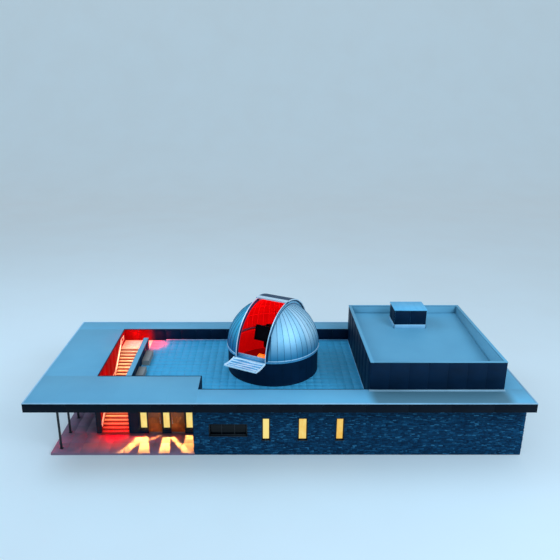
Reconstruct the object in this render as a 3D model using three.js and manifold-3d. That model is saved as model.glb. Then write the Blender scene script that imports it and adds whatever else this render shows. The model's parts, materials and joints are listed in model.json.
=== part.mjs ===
// Hilltop observatory building with a turning dome, in millimetres, +Z up.
// Origin: middle of the building's footprint at ground level. +X runs along the front to the right,
// +Y runs to the back.

import * as THREE from "three";
import { mergeVertices } from "three/addons/utils/BufferGeometryUtils.js";
import Module from "manifold-3d";

const wasm = await Module();
wasm.setup();

// Roof outline and levels above the ground
const ROOF_HALF_X = 18000;
const ROOF_HALF_Y = 7500;
const FLOOR_TOP = 150;
const TERRACE_TOP = 3890;
const TERRACE_THICK = 300;
const ROOF_TOP = 5000;
const DECK_THICK = 250;
const DECK_UNDER = ROOF_TOP - DECK_THICK;
const FASCIA_DEEP = 710;
const FASCIA_THICK = 60;
const SOFFIT_THICK = 40;
const SOFFIT_UNDER = ROOF_TOP - FASCIA_DEEP;

// Outer walls
const WALL_THICK = 400;
const FRONT_Y = -6260;
const FRONT_INNER_Y = FRONT_Y + WALL_THICK;
const BACK_INNER_Y = 5740;
const BACK_Y = BACK_INNER_Y + WALL_THICK;
const EAST_X = 17880;
const EAST_INNER_X = EAST_X - WALL_THICK;
const PORCH_EAST_X = -6250;
const PORCH_EAST_INNER_X = PORCH_EAST_X + WALL_THICK;
const PIER_EAST_X = -5350;
const STAIR_WEST_X = -13750;
const WEST_X = STAIR_WEST_X - WALL_THICK;

// Entrance wall, set back under the roof, with its doors and windows
const ENTRANCE_Y = -3660;
const ENTRANCE_INNER_Y = -3330;
const DOOR_HEAD = 2620;
const ENTRANCE_SILL = 540;
const ENTRANCE_HEAD = 2520;
const DOORWAY_WEST = [-10090, -9050];
const DOORWAY_EAST = [-8320, -7270];
const ENTRANCE_WINDOWS = { west: [-10770, -10140], middle: [-9000, -8370], east: [-7220, -6590] };
const DOOR_THICK = 60;
const DOOR_GAP = 5;
const DOOR_PROUD = 8;
const HINGE_RADIUS = 12;

// Windows in the stone wall: left, right, bottom, top
const RIBBON_WINDOW = [-5130, -2320, 1610, 2610];
const SLIM_WINDOW_HEIGHTS = [1250, 3080];
const SLIM_WINDOWS = [
  [-1250, -660],
  [1390, 2070],
  [4150, 4750],
];
const BACK_WINDOW_WIDE = 650;
const BACK_WINDOWS = [-9000, -3600, 1800, 7200, 12600].map((x) => [x, x + BACK_WINDOW_WIDE]);
const GLASS_THICK = 24;
const GLASS_MARGIN = 100;
// How far a hole's tool runs past both faces of a wall
const CUT_OVER = 50;

// Porch, canopy and stair
const PORCH_WEST_X = -16900;
const PORCH_FRONT_Y = -6310;
const POST_X = -16300;
const POST_FIRST_Y = -5660;
const POST_STEP = 2150;
const POST_COUNT = 6;
const POST_WIDE = 130;
const BEAM_DEEP = 150;
const STAIR_EAST_X = -11630;
const GUARD_EAST_X = -11240;
const GUARD_BACK_Y = 3790;
const RISER = 170;
const TREAD = 280;
const FLIGHT_RISERS = 11;
const STAIR_FOOT_Y = -3760;
const STAIR_HEAD_Y = 3860;
const STAIR_WAIST = 220;
// How far each step reaches down into the waist
const STEP_SEAT = 60;
const HANDRAIL = { out: 90, radius: 22, low: 550, high: 900, bracket: 15, run: 900 };

// Sunken terrace
const TERRACE_JOG_X = PORCH_EAST_INNER_X;
const TERRACE_FRONT_Y = -5390;
const PARAPET_THICK = 100;
const BENCH = { deep: 600, high: 450 };
const BENCHES = {
  back: [590, 2590],
  front: [-2010, -510],
};

// Raised hall on the right
const HALL = { x0: 6550, x1: 16350, y0: -5550, y1: 5990, top: 7235, wall: 200 };
const HALL_ROOF_BACK = HALL.top - 640;
const HALL_ROOF_FRONT = HALL.top - 1300;
const HALL_ROOF_THICK = 200;
const HATCH = { x0: 9980, x1: 12620, y0: 2640, y1: 4590, top: 8090, curb: 60, cap: 90 };

// Dome, its drum and what turns on it
const DOME_X = -360;
const DOME_Y = 630;
const RING_Z = 5970;
const SLIT_TURN = THREE.MathUtils.degToRad(-118);
const DRUM_OUTER = 3660;
const DRUM_THICK = 180;
const DRUM_STEP = 6;
const ROLLER_RADIUS = 30;
const ROLLER_INSET = 30;
const ROLLER_OFFSETS = [22.5, 67.5];
const ROLLER_BLOCK = { inset: 60, half: 50, sunk: 20 };
const ROUND_SIDES = 12;
const RING_OUTER = 3760;
const RING_INNER = 3420;
const RING_HIGH = 70;
const RING_SEGMENTS = 72;
const SKIRT_DROP = 100;
const SKIRT_THICK = 50;
const SKIN_OUTER = 3730;
const SKIN_THICK = 60;
const SKIN_ROWS = 15;
const SKIN_SEGMENTS = 60;
const GAP = 0.3;
const SLIT_HALF = 1260;
const RAIL_THICK = 60;
const RAIL_TOP = 3800;
const RAIL_LOW = 3420;
const SLIT_END = 102;
// Inside this radius nothing of the skin is left to cut
const SKIN_CLEAR = 1000;
const SILL_TOP = 300;
const SILL_RADII = [3460, 3520];

// Shutter and drop-out door, both curved about the level line through the dome's centre
const COVER_OUTER = 3880;
const COVER_SKIN = 40;
const COVER_HALF = 1370;
const COVER_FLANGE = 30;
const COVER_FLANGE_LOW = 3720;
const SHUTTER_FROM = 85;
const SHUTTER_TO = 164;
const SHUTTER_PLATE_LOW = 3780;
const DROP_FROM = 1.3;
const DROP_TO = 24;
const DROP_PLATE_LOW = 3740;
const DROP_HINGE = { x: 3860, z: 30 };
const DROP_BARREL = 30;
const DROP_OPEN = 104;
const LUG_THICK = 50;
const LUG_START = 3500;
const END_PLATE = 40;
const ARC_STEP = 3;

// Telescope: its level axis lies PIVOT_RISE above the ring
const PIVOT_RISE = 950;
const TUBE_TILT = 18;
const TUBE_REACH = 2070;
const TUBE_SIDE = 1200;
const TUBE_FRONT_DEEP = 260;
const FRAME_WALL = 20;
const MIRROR_BOX = { side: 1150, back: -520, front: 280, wall: 60, floor: 200 };
const ROD_RADIUS = 20;
const ROD_SEAT = { back: 30, front: 10, out: 40, in: 30 };
const TRUNNION = { radius: 120, sunk: 20, sides: 20 };
const FORK = { inner: 600, thick: 110, foot: 300, head: 170, above: 220, sunk: 20 };
const FORK_DISC = { radius: 780, z0: 5700, z1: 5850 };
const PIER = { radius: 430, foot: 550, footHigh: 60 };
const TURNED_SEGMENTS = 32;

const PAINT = {
  navy: { color: 0x1b2638, roughness: 0.55, metalness: 0.3 },
  membrane: { color: 0xc9d3da, roughness: 0.85, metalness: 0 },
  stone: { color: 0x59636e, roughness: 0.9, metalness: 0 },
  concrete: { color: 0xa5a49f, roughness: 0.9, metalness: 0 },
  paver: { color: 0x8e959b, roughness: 0.85, metalness: 0 },
  silver: { color: 0xb9c3cb, roughness: 0.35, metalness: 0.9 },
  bronze: { color: 0x5a3413, roughness: 0.5, metalness: 0 },
  glass: { color: 0xffd98a, roughness: 0.1, metalness: 0 },
  black: { color: 0x101114, roughness: 0.6, metalness: 0.1 },
  steel: { color: 0x8d9297, roughness: 0.4, metalness: 0.9 },
};

const observatory = new THREE.Group();

// Adds one named piece in the finish asked for.
function add(name, geometry, finish, parent = observatory) {
  const mesh = new THREE.Mesh(geometry, new THREE.MeshStandardMaterial(PAINT[finish]));
  mesh.name = name;
  parent.add(mesh);
}

// A box from its lowest to its highest corner.
function box(x0, x1, y0, y1, z0, z1) {
  const geometry = new THREE.BoxGeometry(x1 - x0, y1 - y0, z1 - z0);
  return geometry.translate((x0 + x1) / 2, (y0 + y1) / 2, (z0 + z1) / 2);
}

// A closed geometry as a solid that can be joined and cut. A surface that came out
// facing inwards is turned round.
function solid(geometry) {
  const bare = geometry.index ? geometry.toNonIndexed() : geometry.clone();
  bare.deleteAttribute("normal");
  bare.deleteAttribute("uv");
  const merged = mergeVertices(bare, 1e-3);
  const build = (triVerts) =>
    new wasm.Manifold(
      new wasm.Mesh({ numProp: 3, vertProperties: merged.attributes.position.array, triVerts }),
    );
  const triangles = new Uint32Array(merged.index.array);
  const made = build(triangles);
  return made.volume() < 0 ? build(triangles.reverse()) : made;
}

// The geometry of a solid.
function surface(made) {
  const { vertProperties, triVerts } = made.getMesh();
  const geometry = new THREE.BufferGeometry();
  geometry.setAttribute("position", new THREE.BufferAttribute(vertProperties, 3));
  geometry.setIndex(new THREE.BufferAttribute(triVerts, 1));
  return geometry;
}

const join = (...pieces) => surface(pieces.map(solid).reduce((a, b) => a.add(b)));
const cut = (piece, ...tools) => surface(tools.map(solid).reduce((a, b) => a.subtract(b), solid(piece)));
const keep = (piece, ...regions) =>
  surface(regions.map(solid).reduce((a, b) => a.intersect(b), solid(piece)));

// A level slab with the outline given as x, y points.
function slab(outline, z0, z1) {
  const shape = new THREE.Shape(outline.map(([x, y]) => new THREE.Vector2(x, y)));
  return new THREE.ExtrudeGeometry(shape, { depth: z1 - z0, bevelEnabled: false }).translate(0, 0, z0);
}

// A body along X with the side outline given as y, z points.
function along(outline, x0, x1) {
  const shape = new THREE.Shape(outline.map(([y, z]) => new THREE.Vector2(y, z)));
  const geometry = new THREE.ExtrudeGeometry(shape, { depth: x1 - x0, bevelEnabled: false });
  const turn = new THREE.Matrix4().set(0, 0, 1, x0, 1, 0, 0, 0, 0, 1, 0, 0, 0, 0, 0, 1);
  return geometry.applyMatrix4(turn);
}

// A wall along X with window holes given as left, right, bottom, top.
function windowWall(x0, x1, y0, y1, z0, z1, windows) {
  const [near, far] = [y0 - CUT_OVER, y1 + CUT_OVER];
  const holes = windows.map(([left, right, low, high]) => box(left, right, near, far, low, high));
  return cut(box(x0, x1, y0, y1, z0, z1), ...holes);
}

// A closed profile swept round an axis between two angles in degrees. place turns the profile's
// radius and offset, with the angle, into a point.
function sweep(profile, from, to, step, place) {
  const count = Math.ceil((to - from) / step - 1e-6);
  const points = profile.map(([r, h]) => new THREE.Vector2(r, h));
  const cap = THREE.ShapeUtils.triangulateShape(points, []);
  const n = points.length;
  const positions = [];
  for (let i = 0; i <= count; i++) {
    const angle = THREE.MathUtils.degToRad(from + ((to - from) * i) / count);
    for (const p of points) positions.push(...place(p.x, p.y, angle));
  }
  const index = [];
  for (let i = 0; i < count; i++)
    for (let k = 0; k < n; k++) {
      const a = i * n + k;
      const b = i * n + ((k + 1) % n);
      index.push(a, b, b + n, a, b + n, a + n);
    }
  for (const [a, b, c] of cap) {
    index.push(c, b, a);
    index.push(count * n + a, count * n + b, count * n + c);
  }
  const geometry = new THREE.BufferGeometry();
  geometry.setAttribute("position", new THREE.Float32BufferAttribute(positions, 3));
  geometry.setIndex(index);
  return geometry;
}

// Round the upright axis: the angle starts at +X. Round the level axis: it is the height angle.
const upright = (r, h, angle) => [r * Math.cos(angle), r * Math.sin(angle), h];
const level = (r, h, angle) => [r * Math.cos(angle), h, r * Math.sin(angle)];
const rectangle = (r0, r1, h0, h1) => [
  [r0, h0],
  [r1, h0],
  [r1, h1],
  [r0, h1],
];

// A round bar between two points.
function bar(start, end, radius, sides = 8) {
  const a = new THREE.Vector3(...start);
  const b = new THREE.Vector3(...end);
  const geometry = new THREE.CylinderGeometry(radius, radius, a.distanceTo(b), sides);
  const turn = new THREE.Quaternion().setFromUnitVectors(
    new THREE.Vector3(0, 1, 0),
    b.clone().sub(a).normalize(),
  );
  return geometry.applyQuaternion(turn).translate(...a.add(b).multiplyScalar(0.5).toArray());
}

// Ground floor and porch
function floors() {
  const porch = [
    [PORCH_WEST_X, PORCH_FRONT_Y],
    [PORCH_EAST_X, PORCH_FRONT_Y],
    [PORCH_EAST_X, ENTRANCE_Y],
    [STAIR_EAST_X, ENTRANCE_Y],
    [STAIR_EAST_X, BACK_INNER_Y],
    [STAIR_WEST_X, BACK_INNER_Y],
    [STAIR_WEST_X, ENTRANCE_Y],
    [WEST_X, ENTRANCE_Y],
    [WEST_X, BACK_Y],
    [PORCH_WEST_X, BACK_Y],
  ];
  add("porch_slab", slab(porch, 0, FLOOR_TOP), "concrete");
  const inside = [
    [GUARD_EAST_X, ENTRANCE_INNER_Y],
    [PORCH_EAST_INNER_X, ENTRANCE_INNER_Y],
    [PORCH_EAST_INNER_X, FRONT_INNER_Y],
    [EAST_INNER_X, FRONT_INNER_Y],
    [EAST_INNER_X, BACK_INNER_Y],
    [GUARD_EAST_X, BACK_INNER_Y],
  ];
  add("ground_floor", slab(inside, 0, FLOOR_TOP), "concrete");
}

// Outer walls, with the windows cut through
function outerWalls() {
  const slim = (pairs) => pairs.map(([a, b]) => [a, b, ...SLIM_WINDOW_HEIGHTS]);
  const front = [RIBBON_WINDOW, ...slim(SLIM_WINDOWS)];
  add(
    "front_stone_wall",
    windowWall(PIER_EAST_X, EAST_X, FRONT_Y, FRONT_INNER_Y, 0, DECK_UNDER, front),
    "stone",
  );
  add(
    "corner_pier",
    box(PORCH_EAST_X, PIER_EAST_X, FRONT_Y, FRONT_INNER_Y, 0, DECK_UNDER),
    "stone",
  );
  add(
    "porch_side_wall",
    box(PORCH_EAST_X, PORCH_EAST_INNER_X, FRONT_INNER_Y, ENTRANCE_Y, 0, DECK_UNDER),
    "stone",
  );
  add("east_wall", box(EAST_INNER_X, EAST_X, FRONT_INNER_Y, BACK_INNER_Y, 0, DECK_UNDER), "stone");
  add(
    "back_wall",
    windowWall(WEST_X, EAST_X, BACK_INNER_Y, BACK_Y, 0, DECK_UNDER, slim(BACK_WINDOWS)),
    "stone",
  );
  add("stair_west_wall", box(WEST_X, STAIR_WEST_X, ENTRANCE_Y, BACK_INNER_Y, 0, DECK_UNDER), "navy");
  const [low, high] = SLIM_WINDOW_HEIGHTS;
  const [z0, z1] = [low - GLASS_MARGIN, high + GLASS_MARGIN];
  const sheet = (first, last, y) =>
    box(first - GLASS_MARGIN, last + GLASS_MARGIN, y, y + GLASS_THICK, z0, z1);
  add("front_window_glass", sheet(RIBBON_WINDOW[0], SLIM_WINDOWS[2][1], FRONT_INNER_Y), "glass");
  add(
    "back_window_glass",
    sheet(BACK_WINDOWS[0][0], BACK_WINDOWS.at(-1)[1], BACK_INNER_Y - GLASS_THICK),
    "glass",
  );
}

// Entrance wall with two doorways and three windows, and the two door leaves
function entrance() {
  const wall = (name, x0, x1, z1, window) =>
    add(
      name,
      windowWall(x0, x1, ENTRANCE_Y, ENTRANCE_INNER_Y, 0, z1, [
        [...window, ENTRANCE_SILL, ENTRANCE_HEAD],
      ]),
      "navy",
    );
  wall("entrance_wall_west", STAIR_EAST_X, DOORWAY_WEST[0], DECK_UNDER, ENTRANCE_WINDOWS.west);
  wall("entrance_wall_middle", DOORWAY_WEST[1], DOORWAY_EAST[0], DOOR_HEAD, ENTRANCE_WINDOWS.middle);
  wall("entrance_wall_east", DOORWAY_EAST[1], PORCH_EAST_INNER_X, DECK_UNDER, ENTRANCE_WINDOWS.east);
  add(
    "entrance_wall_over",
    box(DOORWAY_WEST[0], DOORWAY_EAST[1], ENTRANCE_Y, ENTRANCE_INNER_Y, DOOR_HEAD, DECK_UNDER),
    "navy",
  );
  const paneY = (ENTRANCE_Y + ENTRANCE_INNER_Y) / 2;
  for (const [side, [x0, x1]] of Object.entries(ENTRANCE_WINDOWS))
    add(
      "entrance_glass_" + side,
      box(x0, x1, paneY, paneY + GLASS_THICK, ENTRANCE_SILL, ENTRANCE_HEAD),
      "glass",
    );
  add("entrance_door_west", doorLeaf(DOORWAY_WEST, 0), "bronze");
  add("entrance_door_east", doorLeaf(DOORWAY_EAST, 1), "bronze");
}

// A door leaf with its hinge barrel on the outer face, at the doorway's left (0) or right (1) edge.
function doorLeaf(doorway, hingeSide) {
  const x0 = doorway[0] + DOOR_GAP;
  const x1 = doorway[1] - DOOR_GAP;
  const face = ENTRANCE_Y - DOOR_PROUD;
  const z0 = FLOOR_TOP + DOOR_GAP;
  const z1 = DOOR_HEAD - DOOR_GAP;
  const hingeX = hingeSide ? doorway[1] - DOOR_GAP / 2 : doorway[0] + DOOR_GAP / 2;
  const hingeY = ENTRANCE_Y - HINGE_RADIUS - GAP;
  return join(
    box(x0, x1, face, face + DOOR_THICK, z0, z1),
    bar([hingeX, hingeY, z0], [hingeX, hingeY, z1], HINGE_RADIUS, ROUND_SIDES),
  );
}

// Stair from the porch up to the terrace, its walls and its handrail
function stair() {
  const flightRise = FLIGHT_RISERS * RISER;
  const flightRun = (FLIGHT_RISERS - 1) * TREAD;
  const landingZ = FLOOR_TOP + flightRise;
  const landingY = STAIR_FOOT_Y + flightRun;
  const upperFootY = STAIR_HEAD_Y - flightRun;
  const flight = (footY, footZ, lowest) => {
    const headY = footY + flightRun;
    const blocks = [];
    for (let i = 0; i < FLIGHT_RISERS - 1; i++) {
      const y = footY + i * TREAD;
      const z = footZ + (i + 1) * RISER;
      const under = Math.max(lowest, z - RISER - STEP_SEAT);
      blocks.push(box(STAIR_WEST_X, STAIR_EAST_X, y, y + TREAD, under, z));
    }
    const waist = [
      [footY, lowest],
      [footY + TREAD, lowest],
      [headY, footZ + flightRise - RISER - STAIR_WAIST],
      [headY, footZ + flightRise - RISER],
      [footY, footZ + RISER / 2],
    ];
    return join(along(waist, STAIR_WEST_X, STAIR_EAST_X), ...blocks);
  };
  add("stair_lower_flight", flight(STAIR_FOOT_Y, FLOOR_TOP, FLOOR_TOP), "concrete");
  const landing = box(
    STAIR_WEST_X,
    STAIR_EAST_X,
    landingY,
    upperFootY,
    landingZ - STAIR_WAIST,
    landingZ,
  );
  add("stair_upper_flight", join(landing, flight(upperFootY, landingZ, landingZ - STAIR_WAIST)), "concrete");
  add(
    "stair_top_landing",
    join(
      box(STAIR_WEST_X, GUARD_EAST_X, STAIR_HEAD_Y, BACK_INNER_Y, TERRACE_TOP - TERRACE_THICK, TERRACE_TOP),
      box(STAIR_EAST_X, GUARD_EAST_X, STAIR_HEAD_Y, BACK_INNER_Y, 0, TERRACE_TOP - TERRACE_THICK),
    ),
    "concrete",
  );
  add(
    "stair_guard_wall",
    box(STAIR_EAST_X, GUARD_EAST_X, ENTRANCE_INNER_Y, GUARD_BACK_Y, 0, ROOF_TOP),
    "navy",
  );
  add("stair_handrail", handrail(landingY, landingZ, upperFootY), "steel");
}

// Handrail of two bars that follow the stair, on brackets from the wall.
function handrail(landingY, landingZ, upperFootY) {
  const { radius, low, high } = HANDRAIL;
  const railX = STAIR_WEST_X + HANDRAIL.out;
  const line = [
    [STAIR_FOOT_Y, FLOOR_TOP + RISER],
    [landingY, landingZ],
    [upperFootY, landingZ + RISER],
    [STAIR_HEAD_Y, TERRACE_TOP],
    [STAIR_HEAD_Y + HANDRAIL.run, TERRACE_TOP],
  ];
  const pieces = [];
  for (const height of [low, high])
    for (let i = 0; i < line.length - 1; i++) {
      const [y0, z0] = line[i];
      const [y1, z1] = line[i + 1];
      pieces.push(bar([railX, y0, z0 + height], [railX, y1, z1 + height], radius));
    }
  for (const [y, z] of line) {
    const middle = z + (low + high) / 2;
    pieces.push(bar([railX, y, z + low - radius], [railX, y, z + high + radius], radius));
    pieces.push(bar([STAIR_WEST_X + GAP, y, middle], [railX, y, middle], HANDRAIL.bracket));
  }
  return join(...pieces);
}

// Sunken terrace floor, its front parapet and the two benches
function terrace() {
  const outline = [
    [GUARD_EAST_X, ENTRANCE_INNER_Y],
    [TERRACE_JOG_X, ENTRANCE_INNER_Y],
    [TERRACE_JOG_X, TERRACE_FRONT_Y - PARAPET_THICK],
    [HALL.x0 + HALL.wall, TERRACE_FRONT_Y - PARAPET_THICK],
    [HALL.x0 + HALL.wall, BACK_INNER_Y],
    [GUARD_EAST_X, BACK_INNER_Y],
  ];
  add("terrace_floor", slab(outline, TERRACE_TOP - TERRACE_THICK, TERRACE_TOP), "paver");
  add(
    "terrace_parapet",
    box(TERRACE_JOG_X, HALL.x0, TERRACE_FRONT_Y - PARAPET_THICK, TERRACE_FRONT_Y, TERRACE_TOP, DECK_UNDER),
    "navy",
  );
  for (const [place, [y0, y1]] of Object.entries(BENCHES))
    add(
      "terrace_bench_" + place,
      box(GUARD_EAST_X, GUARD_EAST_X + BENCH.deep, y0, y1, TERRACE_TOP, TERRACE_TOP + BENCH.high),
      "stone",
    );
}

// Flat roof: decks round the terrace with a deep edge board and a soffit
function roof() {
  const x = ROOF_HALF_X;
  const y = ROOF_HALF_Y;
  const deck = (x0, x1, y0, y1) => box(x0, x1, y0, y1, DECK_UNDER, ROOF_TOP);
  const edge = (x0, x1, y0, y1) => box(x0, x1, y0, y1, SOFFIT_UNDER, ROOF_TOP);
  const soffit = (x0, x1, y0, y1) => box(x0, x1, y0, y1, SOFFIT_UNDER, SOFFIT_UNDER + SOFFIT_THICK);
  add(
    "roof_front_west",
    join(
      deck(-x, PORCH_EAST_INNER_X, -y, ENTRANCE_INNER_Y),
      edge(-x, PORCH_EAST_INNER_X, -y, -y + FASCIA_THICK),
      edge(-x, -x + FASCIA_THICK, -y, ENTRANCE_INNER_Y),
      soffit(-x, PORCH_EAST_INNER_X, -y, FRONT_Y),
      soffit(-x, PORCH_EAST_X, FRONT_Y, ENTRANCE_Y),
    ),
    "membrane",
  );
  add(
    "roof_front_east",
    join(
      deck(PORCH_EAST_INNER_X, x, -y, TERRACE_FRONT_Y),
      edge(PORCH_EAST_INNER_X, x, -y, -y + FASCIA_THICK),
      edge(x - FASCIA_THICK, x, -y, TERRACE_FRONT_Y),
      soffit(PORCH_EAST_INNER_X, x, -y, FRONT_Y),
    ),
    "membrane",
  );
  add(
    "roof_west",
    join(
      deck(-x, STAIR_WEST_X, ENTRANCE_INNER_Y, BACK_INNER_Y),
      edge(-x, -x + FASCIA_THICK, ENTRANCE_INNER_Y, BACK_INNER_Y),
      soffit(-x, WEST_X, ENTRANCE_INNER_Y, BACK_INNER_Y),
    ),
    "membrane",
  );
  add(
    "roof_back",
    join(
      deck(-x, x, BACK_INNER_Y, y),
      edge(-x, x, y - FASCIA_THICK, y),
      edge(-x, -x + FASCIA_THICK, BACK_INNER_Y, y),
      edge(x - FASCIA_THICK, x, BACK_INNER_Y, y),
      soffit(-x, x, BACK_Y, y),
      soffit(-x, WEST_X, BACK_INNER_Y, BACK_Y),
    ),
    "membrane",
  );
  add(
    "roof_east",
    join(
      deck(HALL.x1 - HALL.wall, x, TERRACE_FRONT_Y, BACK_INNER_Y),
      edge(x - FASCIA_THICK, x, TERRACE_FRONT_Y, BACK_INNER_Y),
    ),
    "membrane",
  );
  add("canopy_posts", canopyPosts(), "black");
}

// The row of slender posts under the left edge of the roof, with the beam that they carry.
function canopyPosts() {
  const half = POST_WIDE / 2;
  const lastY = POST_FIRST_Y + (POST_COUNT - 1) * POST_STEP;
  const [x0, x1] = [POST_X - half, POST_X + half];
  const beamUnder = SOFFIT_UNDER - BEAM_DEEP;
  const beam = box(x0, x1, POST_FIRST_Y - half, lastY + half, beamUnder, SOFFIT_UNDER);
  const posts = [];
  for (let i = 0; i < POST_COUNT; i++) {
    const y = POST_FIRST_Y + i * POST_STEP;
    posts.push(box(x0, x1, y - half, y + half, FLOOR_TOP, beamUnder + BEAM_DEEP / 2));
  }
  return join(beam, ...posts);
}

// Raised hall: four panel walls, a sloping roof behind them and the hatch on it
function hall() {
  const { x0, x1, y0, y1, top, wall } = HALL;
  add("hall_west_wall", box(x0, x0 + wall, TERRACE_FRONT_Y, BACK_INNER_Y, TERRACE_TOP, top), "navy");
  add("hall_front_wall", hallEnd(y0, TERRACE_FRONT_Y), "navy");
  add("hall_back_wall", hallEnd(BACK_INNER_Y, y1), "navy");
  add("hall_east_wall", box(x1 - wall, x1, TERRACE_FRONT_Y, BACK_INNER_Y, ROOF_TOP, top), "navy");
  const slope = (HALL_ROOF_BACK - HALL_ROOF_FRONT) / (BACK_INNER_Y - TERRACE_FRONT_Y);
  const roofAt = (y) => HALL_ROOF_FRONT + (y - TERRACE_FRONT_Y) * slope;
  const section = [
    [TERRACE_FRONT_Y, HALL_ROOF_FRONT - HALL_ROOF_THICK],
    [BACK_INNER_Y, HALL_ROOF_BACK - HALL_ROOF_THICK],
    [BACK_INNER_Y, HALL_ROOF_BACK],
    [TERRACE_FRONT_Y, HALL_ROOF_FRONT],
  ];
  add("hall_roof", along(section, x0 + wall, x1 - wall), "membrane");
  const hatchSide = [
    [HATCH.y0, roofAt(HATCH.y0) + GAP],
    [HATCH.y1, roofAt(HATCH.y1) + GAP],
    [HATCH.y1, HATCH.top - HATCH.cap],
    [HATCH.y0, HATCH.top - HATCH.cap],
  ];
  const lip = HATCH.curb;
  add(
    "hall_roof_hatch",
    join(
      along(hatchSide, HATCH.x0, HATCH.x1),
      box(HATCH.x0 - lip, HATCH.x1 + lip, HATCH.y0 - lip, HATCH.y1 + lip, HATCH.top - HATCH.cap, HATCH.top),
    ),
    "navy",
  );
}

// A short end wall of the hall, standing on the roof deck.
function hallEnd(y0, y1) {
  return box(HALL.x0, HALL.x1, y0, y1, ROOF_TOP, HALL.top);
}

// Round drum in four quarters, each with two rollers on top for the dome to turn on
function drum() {
  const inner = DRUM_OUTER - DRUM_THICK;
  const top = RING_Z - 2 * ROLLER_RADIUS;
  const quarter = 90;
  for (let i = 0; i < 4; i++) {
    const from = i * quarter;
    const section = rectangle(inner, DRUM_OUTER, TERRACE_TOP, top);
    const wall = sweep(section, from, from + quarter, DRUM_STEP, upright);
    const rollers = ROLLER_OFFSETS.map((offset) => {
      const angle = THREE.MathUtils.degToRad(from + offset);
      const at = (r) => [r * Math.cos(angle), r * Math.sin(angle), RING_Z - ROLLER_RADIUS - GAP];
      return join(
        bar(at(inner + ROLLER_INSET), at(DRUM_OUTER - ROLLER_INSET), ROLLER_RADIUS, ROUND_SIDES),
        rollerBlock(angle, inner, top),
      );
    });
    add("drum_wall_" + (i + 1), join(wall, ...rollers).translate(DOME_X, DOME_Y, 0), "navy");
  }
}

// The block that a roller's spindle sits in, partly sunk into the drum's top.
function rollerBlock(angle, inner, top) {
  const { inset, half, sunk } = ROLLER_BLOCK;
  return box(inner + inset, DRUM_OUTER - inset, -half, half, top - sunk, top + ROLLER_RADIUS).rotateZ(angle);
}

// The turning dome: base ring, skin in three parts, sill and the two arch rails beside the slit
function dome() {
  const group = new THREE.Group();
  group.position.set(DOME_X, DOME_Y, RING_Z);
  group.rotation.z = SLIT_TURN;
  observatory.add(group);
  const ringProfile = [
    [RING_INNER, 0],
    [RING_OUTER - SKIRT_THICK, 0],
    [RING_OUTER - SKIRT_THICK, -SKIRT_DROP],
    [RING_OUTER, -SKIRT_DROP],
    [RING_OUTER, RING_HIGH],
    [RING_INNER, RING_HIGH],
    [RING_INNER, 0],
  ];
  const ring = new THREE.LatheGeometry(
    ringProfile.map(([r, h]) => new THREE.Vector2(r, h)),
    RING_SEGMENTS,
  ).rotateX(Math.PI / 2);
  const lug = (y0, y1) =>
    box(LUG_START, DROP_HINGE.x + DROP_BARREL, y0, y1, 0, DROP_HINGE.z + DROP_BARREL);
  add(
    "dome_base_ring",
    join(ring, lug(-SLIT_HALF - LUG_THICK, -SLIT_HALF), lug(SLIT_HALF, SLIT_HALF + LUG_THICK)),
    "silver",
    group,
  );
  const skin = domeSkin();
  const far = 2 * SKIN_OUTER;
  const side = SLIT_HALF + RAIL_THICK + GAP;
  const between = SLIT_HALF - GAP;
  add("dome_skin_left", keep(skin, box(-far, far, -far, -side, -far, far)), "silver", group);
  add("dome_skin_right", keep(skin, box(-far, far, side, far, -far, far)), "silver", group);
  const section = rectangle(SKIN_CLEAR, far, -between, between);
  const behind = sweep(section, SLIT_END, 180, (180 - SLIT_END) / 2, level);
  add("dome_skin_back", keep(skin, behind), "silver", group);
  add(
    "slit_sill",
    box(SILL_RADII[0], SILL_RADII[1], -between, between, RING_HIGH + GAP, SILL_TOP),
    "silver",
    group,
  );
  const rail = (name, h0, h1) => {
    const arch = sweep(rectangle(RAIL_LOW, RAIL_TOP, h0, h1), 0, 180, ARC_STEP, level);
    const above = box(-far, far, -far, far, RING_HIGH + GAP, far);
    add(name, keep(arch, above), "silver", group);
  };
  rail("arch_rail_left", -SLIT_HALF - RAIL_THICK, -SLIT_HALF);
  rail("arch_rail_right", SLIT_HALF, SLIT_HALF + RAIL_THICK);
  add(
    "slit_shutter",
    join(
      cover(SHUTTER_FROM, SHUTTER_TO, SHUTTER_PLATE_LOW),
      runner(SHUTTER_FROM, SHUTTER_TO, -1),
      runner(SHUTTER_FROM, SHUTTER_TO, 1),
    ),
    "silver",
    group,
  );
  add("slit_drop_door", dropDoor(between), "silver", group);
}

// The lower door of the slit, hung open from the barrel that turns between the ring's two lugs.
function dropDoor(between) {
  const { x, z } = DROP_HINGE;
  const reach = 3 * DROP_BARREL;
  const door = join(
    cover(DROP_FROM, DROP_TO, DROP_PLATE_LOW),
    bar([x, -between, z], [x, between, z], DROP_BARREL, ROUND_SIDES),
    box(x - DROP_BARREL / 2, x + DROP_BARREL / 2, -between, between, z, z + reach),
  );
  door.translate(-x, 0, -z);
  door.rotateY(THREE.MathUtils.degToRad(DROP_OPEN));
  return door.translate(x, 0, z);
}

// The whole hollow half ball of the dome above its base ring.
function domeSkin() {
  const low = RING_HIGH + GAP;
  const arc = (radius, rising) => {
    const start = Math.asin(low / radius);
    const points = [];
    for (let i = 0; i <= SKIN_ROWS; i++) {
      const part = (rising ? i : SKIN_ROWS - i) / SKIN_ROWS;
      const angle = start + (Math.PI / 2 - start) * part;
      points.push(new THREE.Vector2(part === 1 ? 0 : radius * Math.cos(angle), radius * Math.sin(angle)));
    }
    return points;
  };
  const profile = [...arc(SKIN_OUTER - SKIN_THICK, false), ...arc(SKIN_OUTER, true)];
  return new THREE.LatheGeometry(profile, SKIN_SEGMENTS).rotateX(Math.PI / 2);
}

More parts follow.
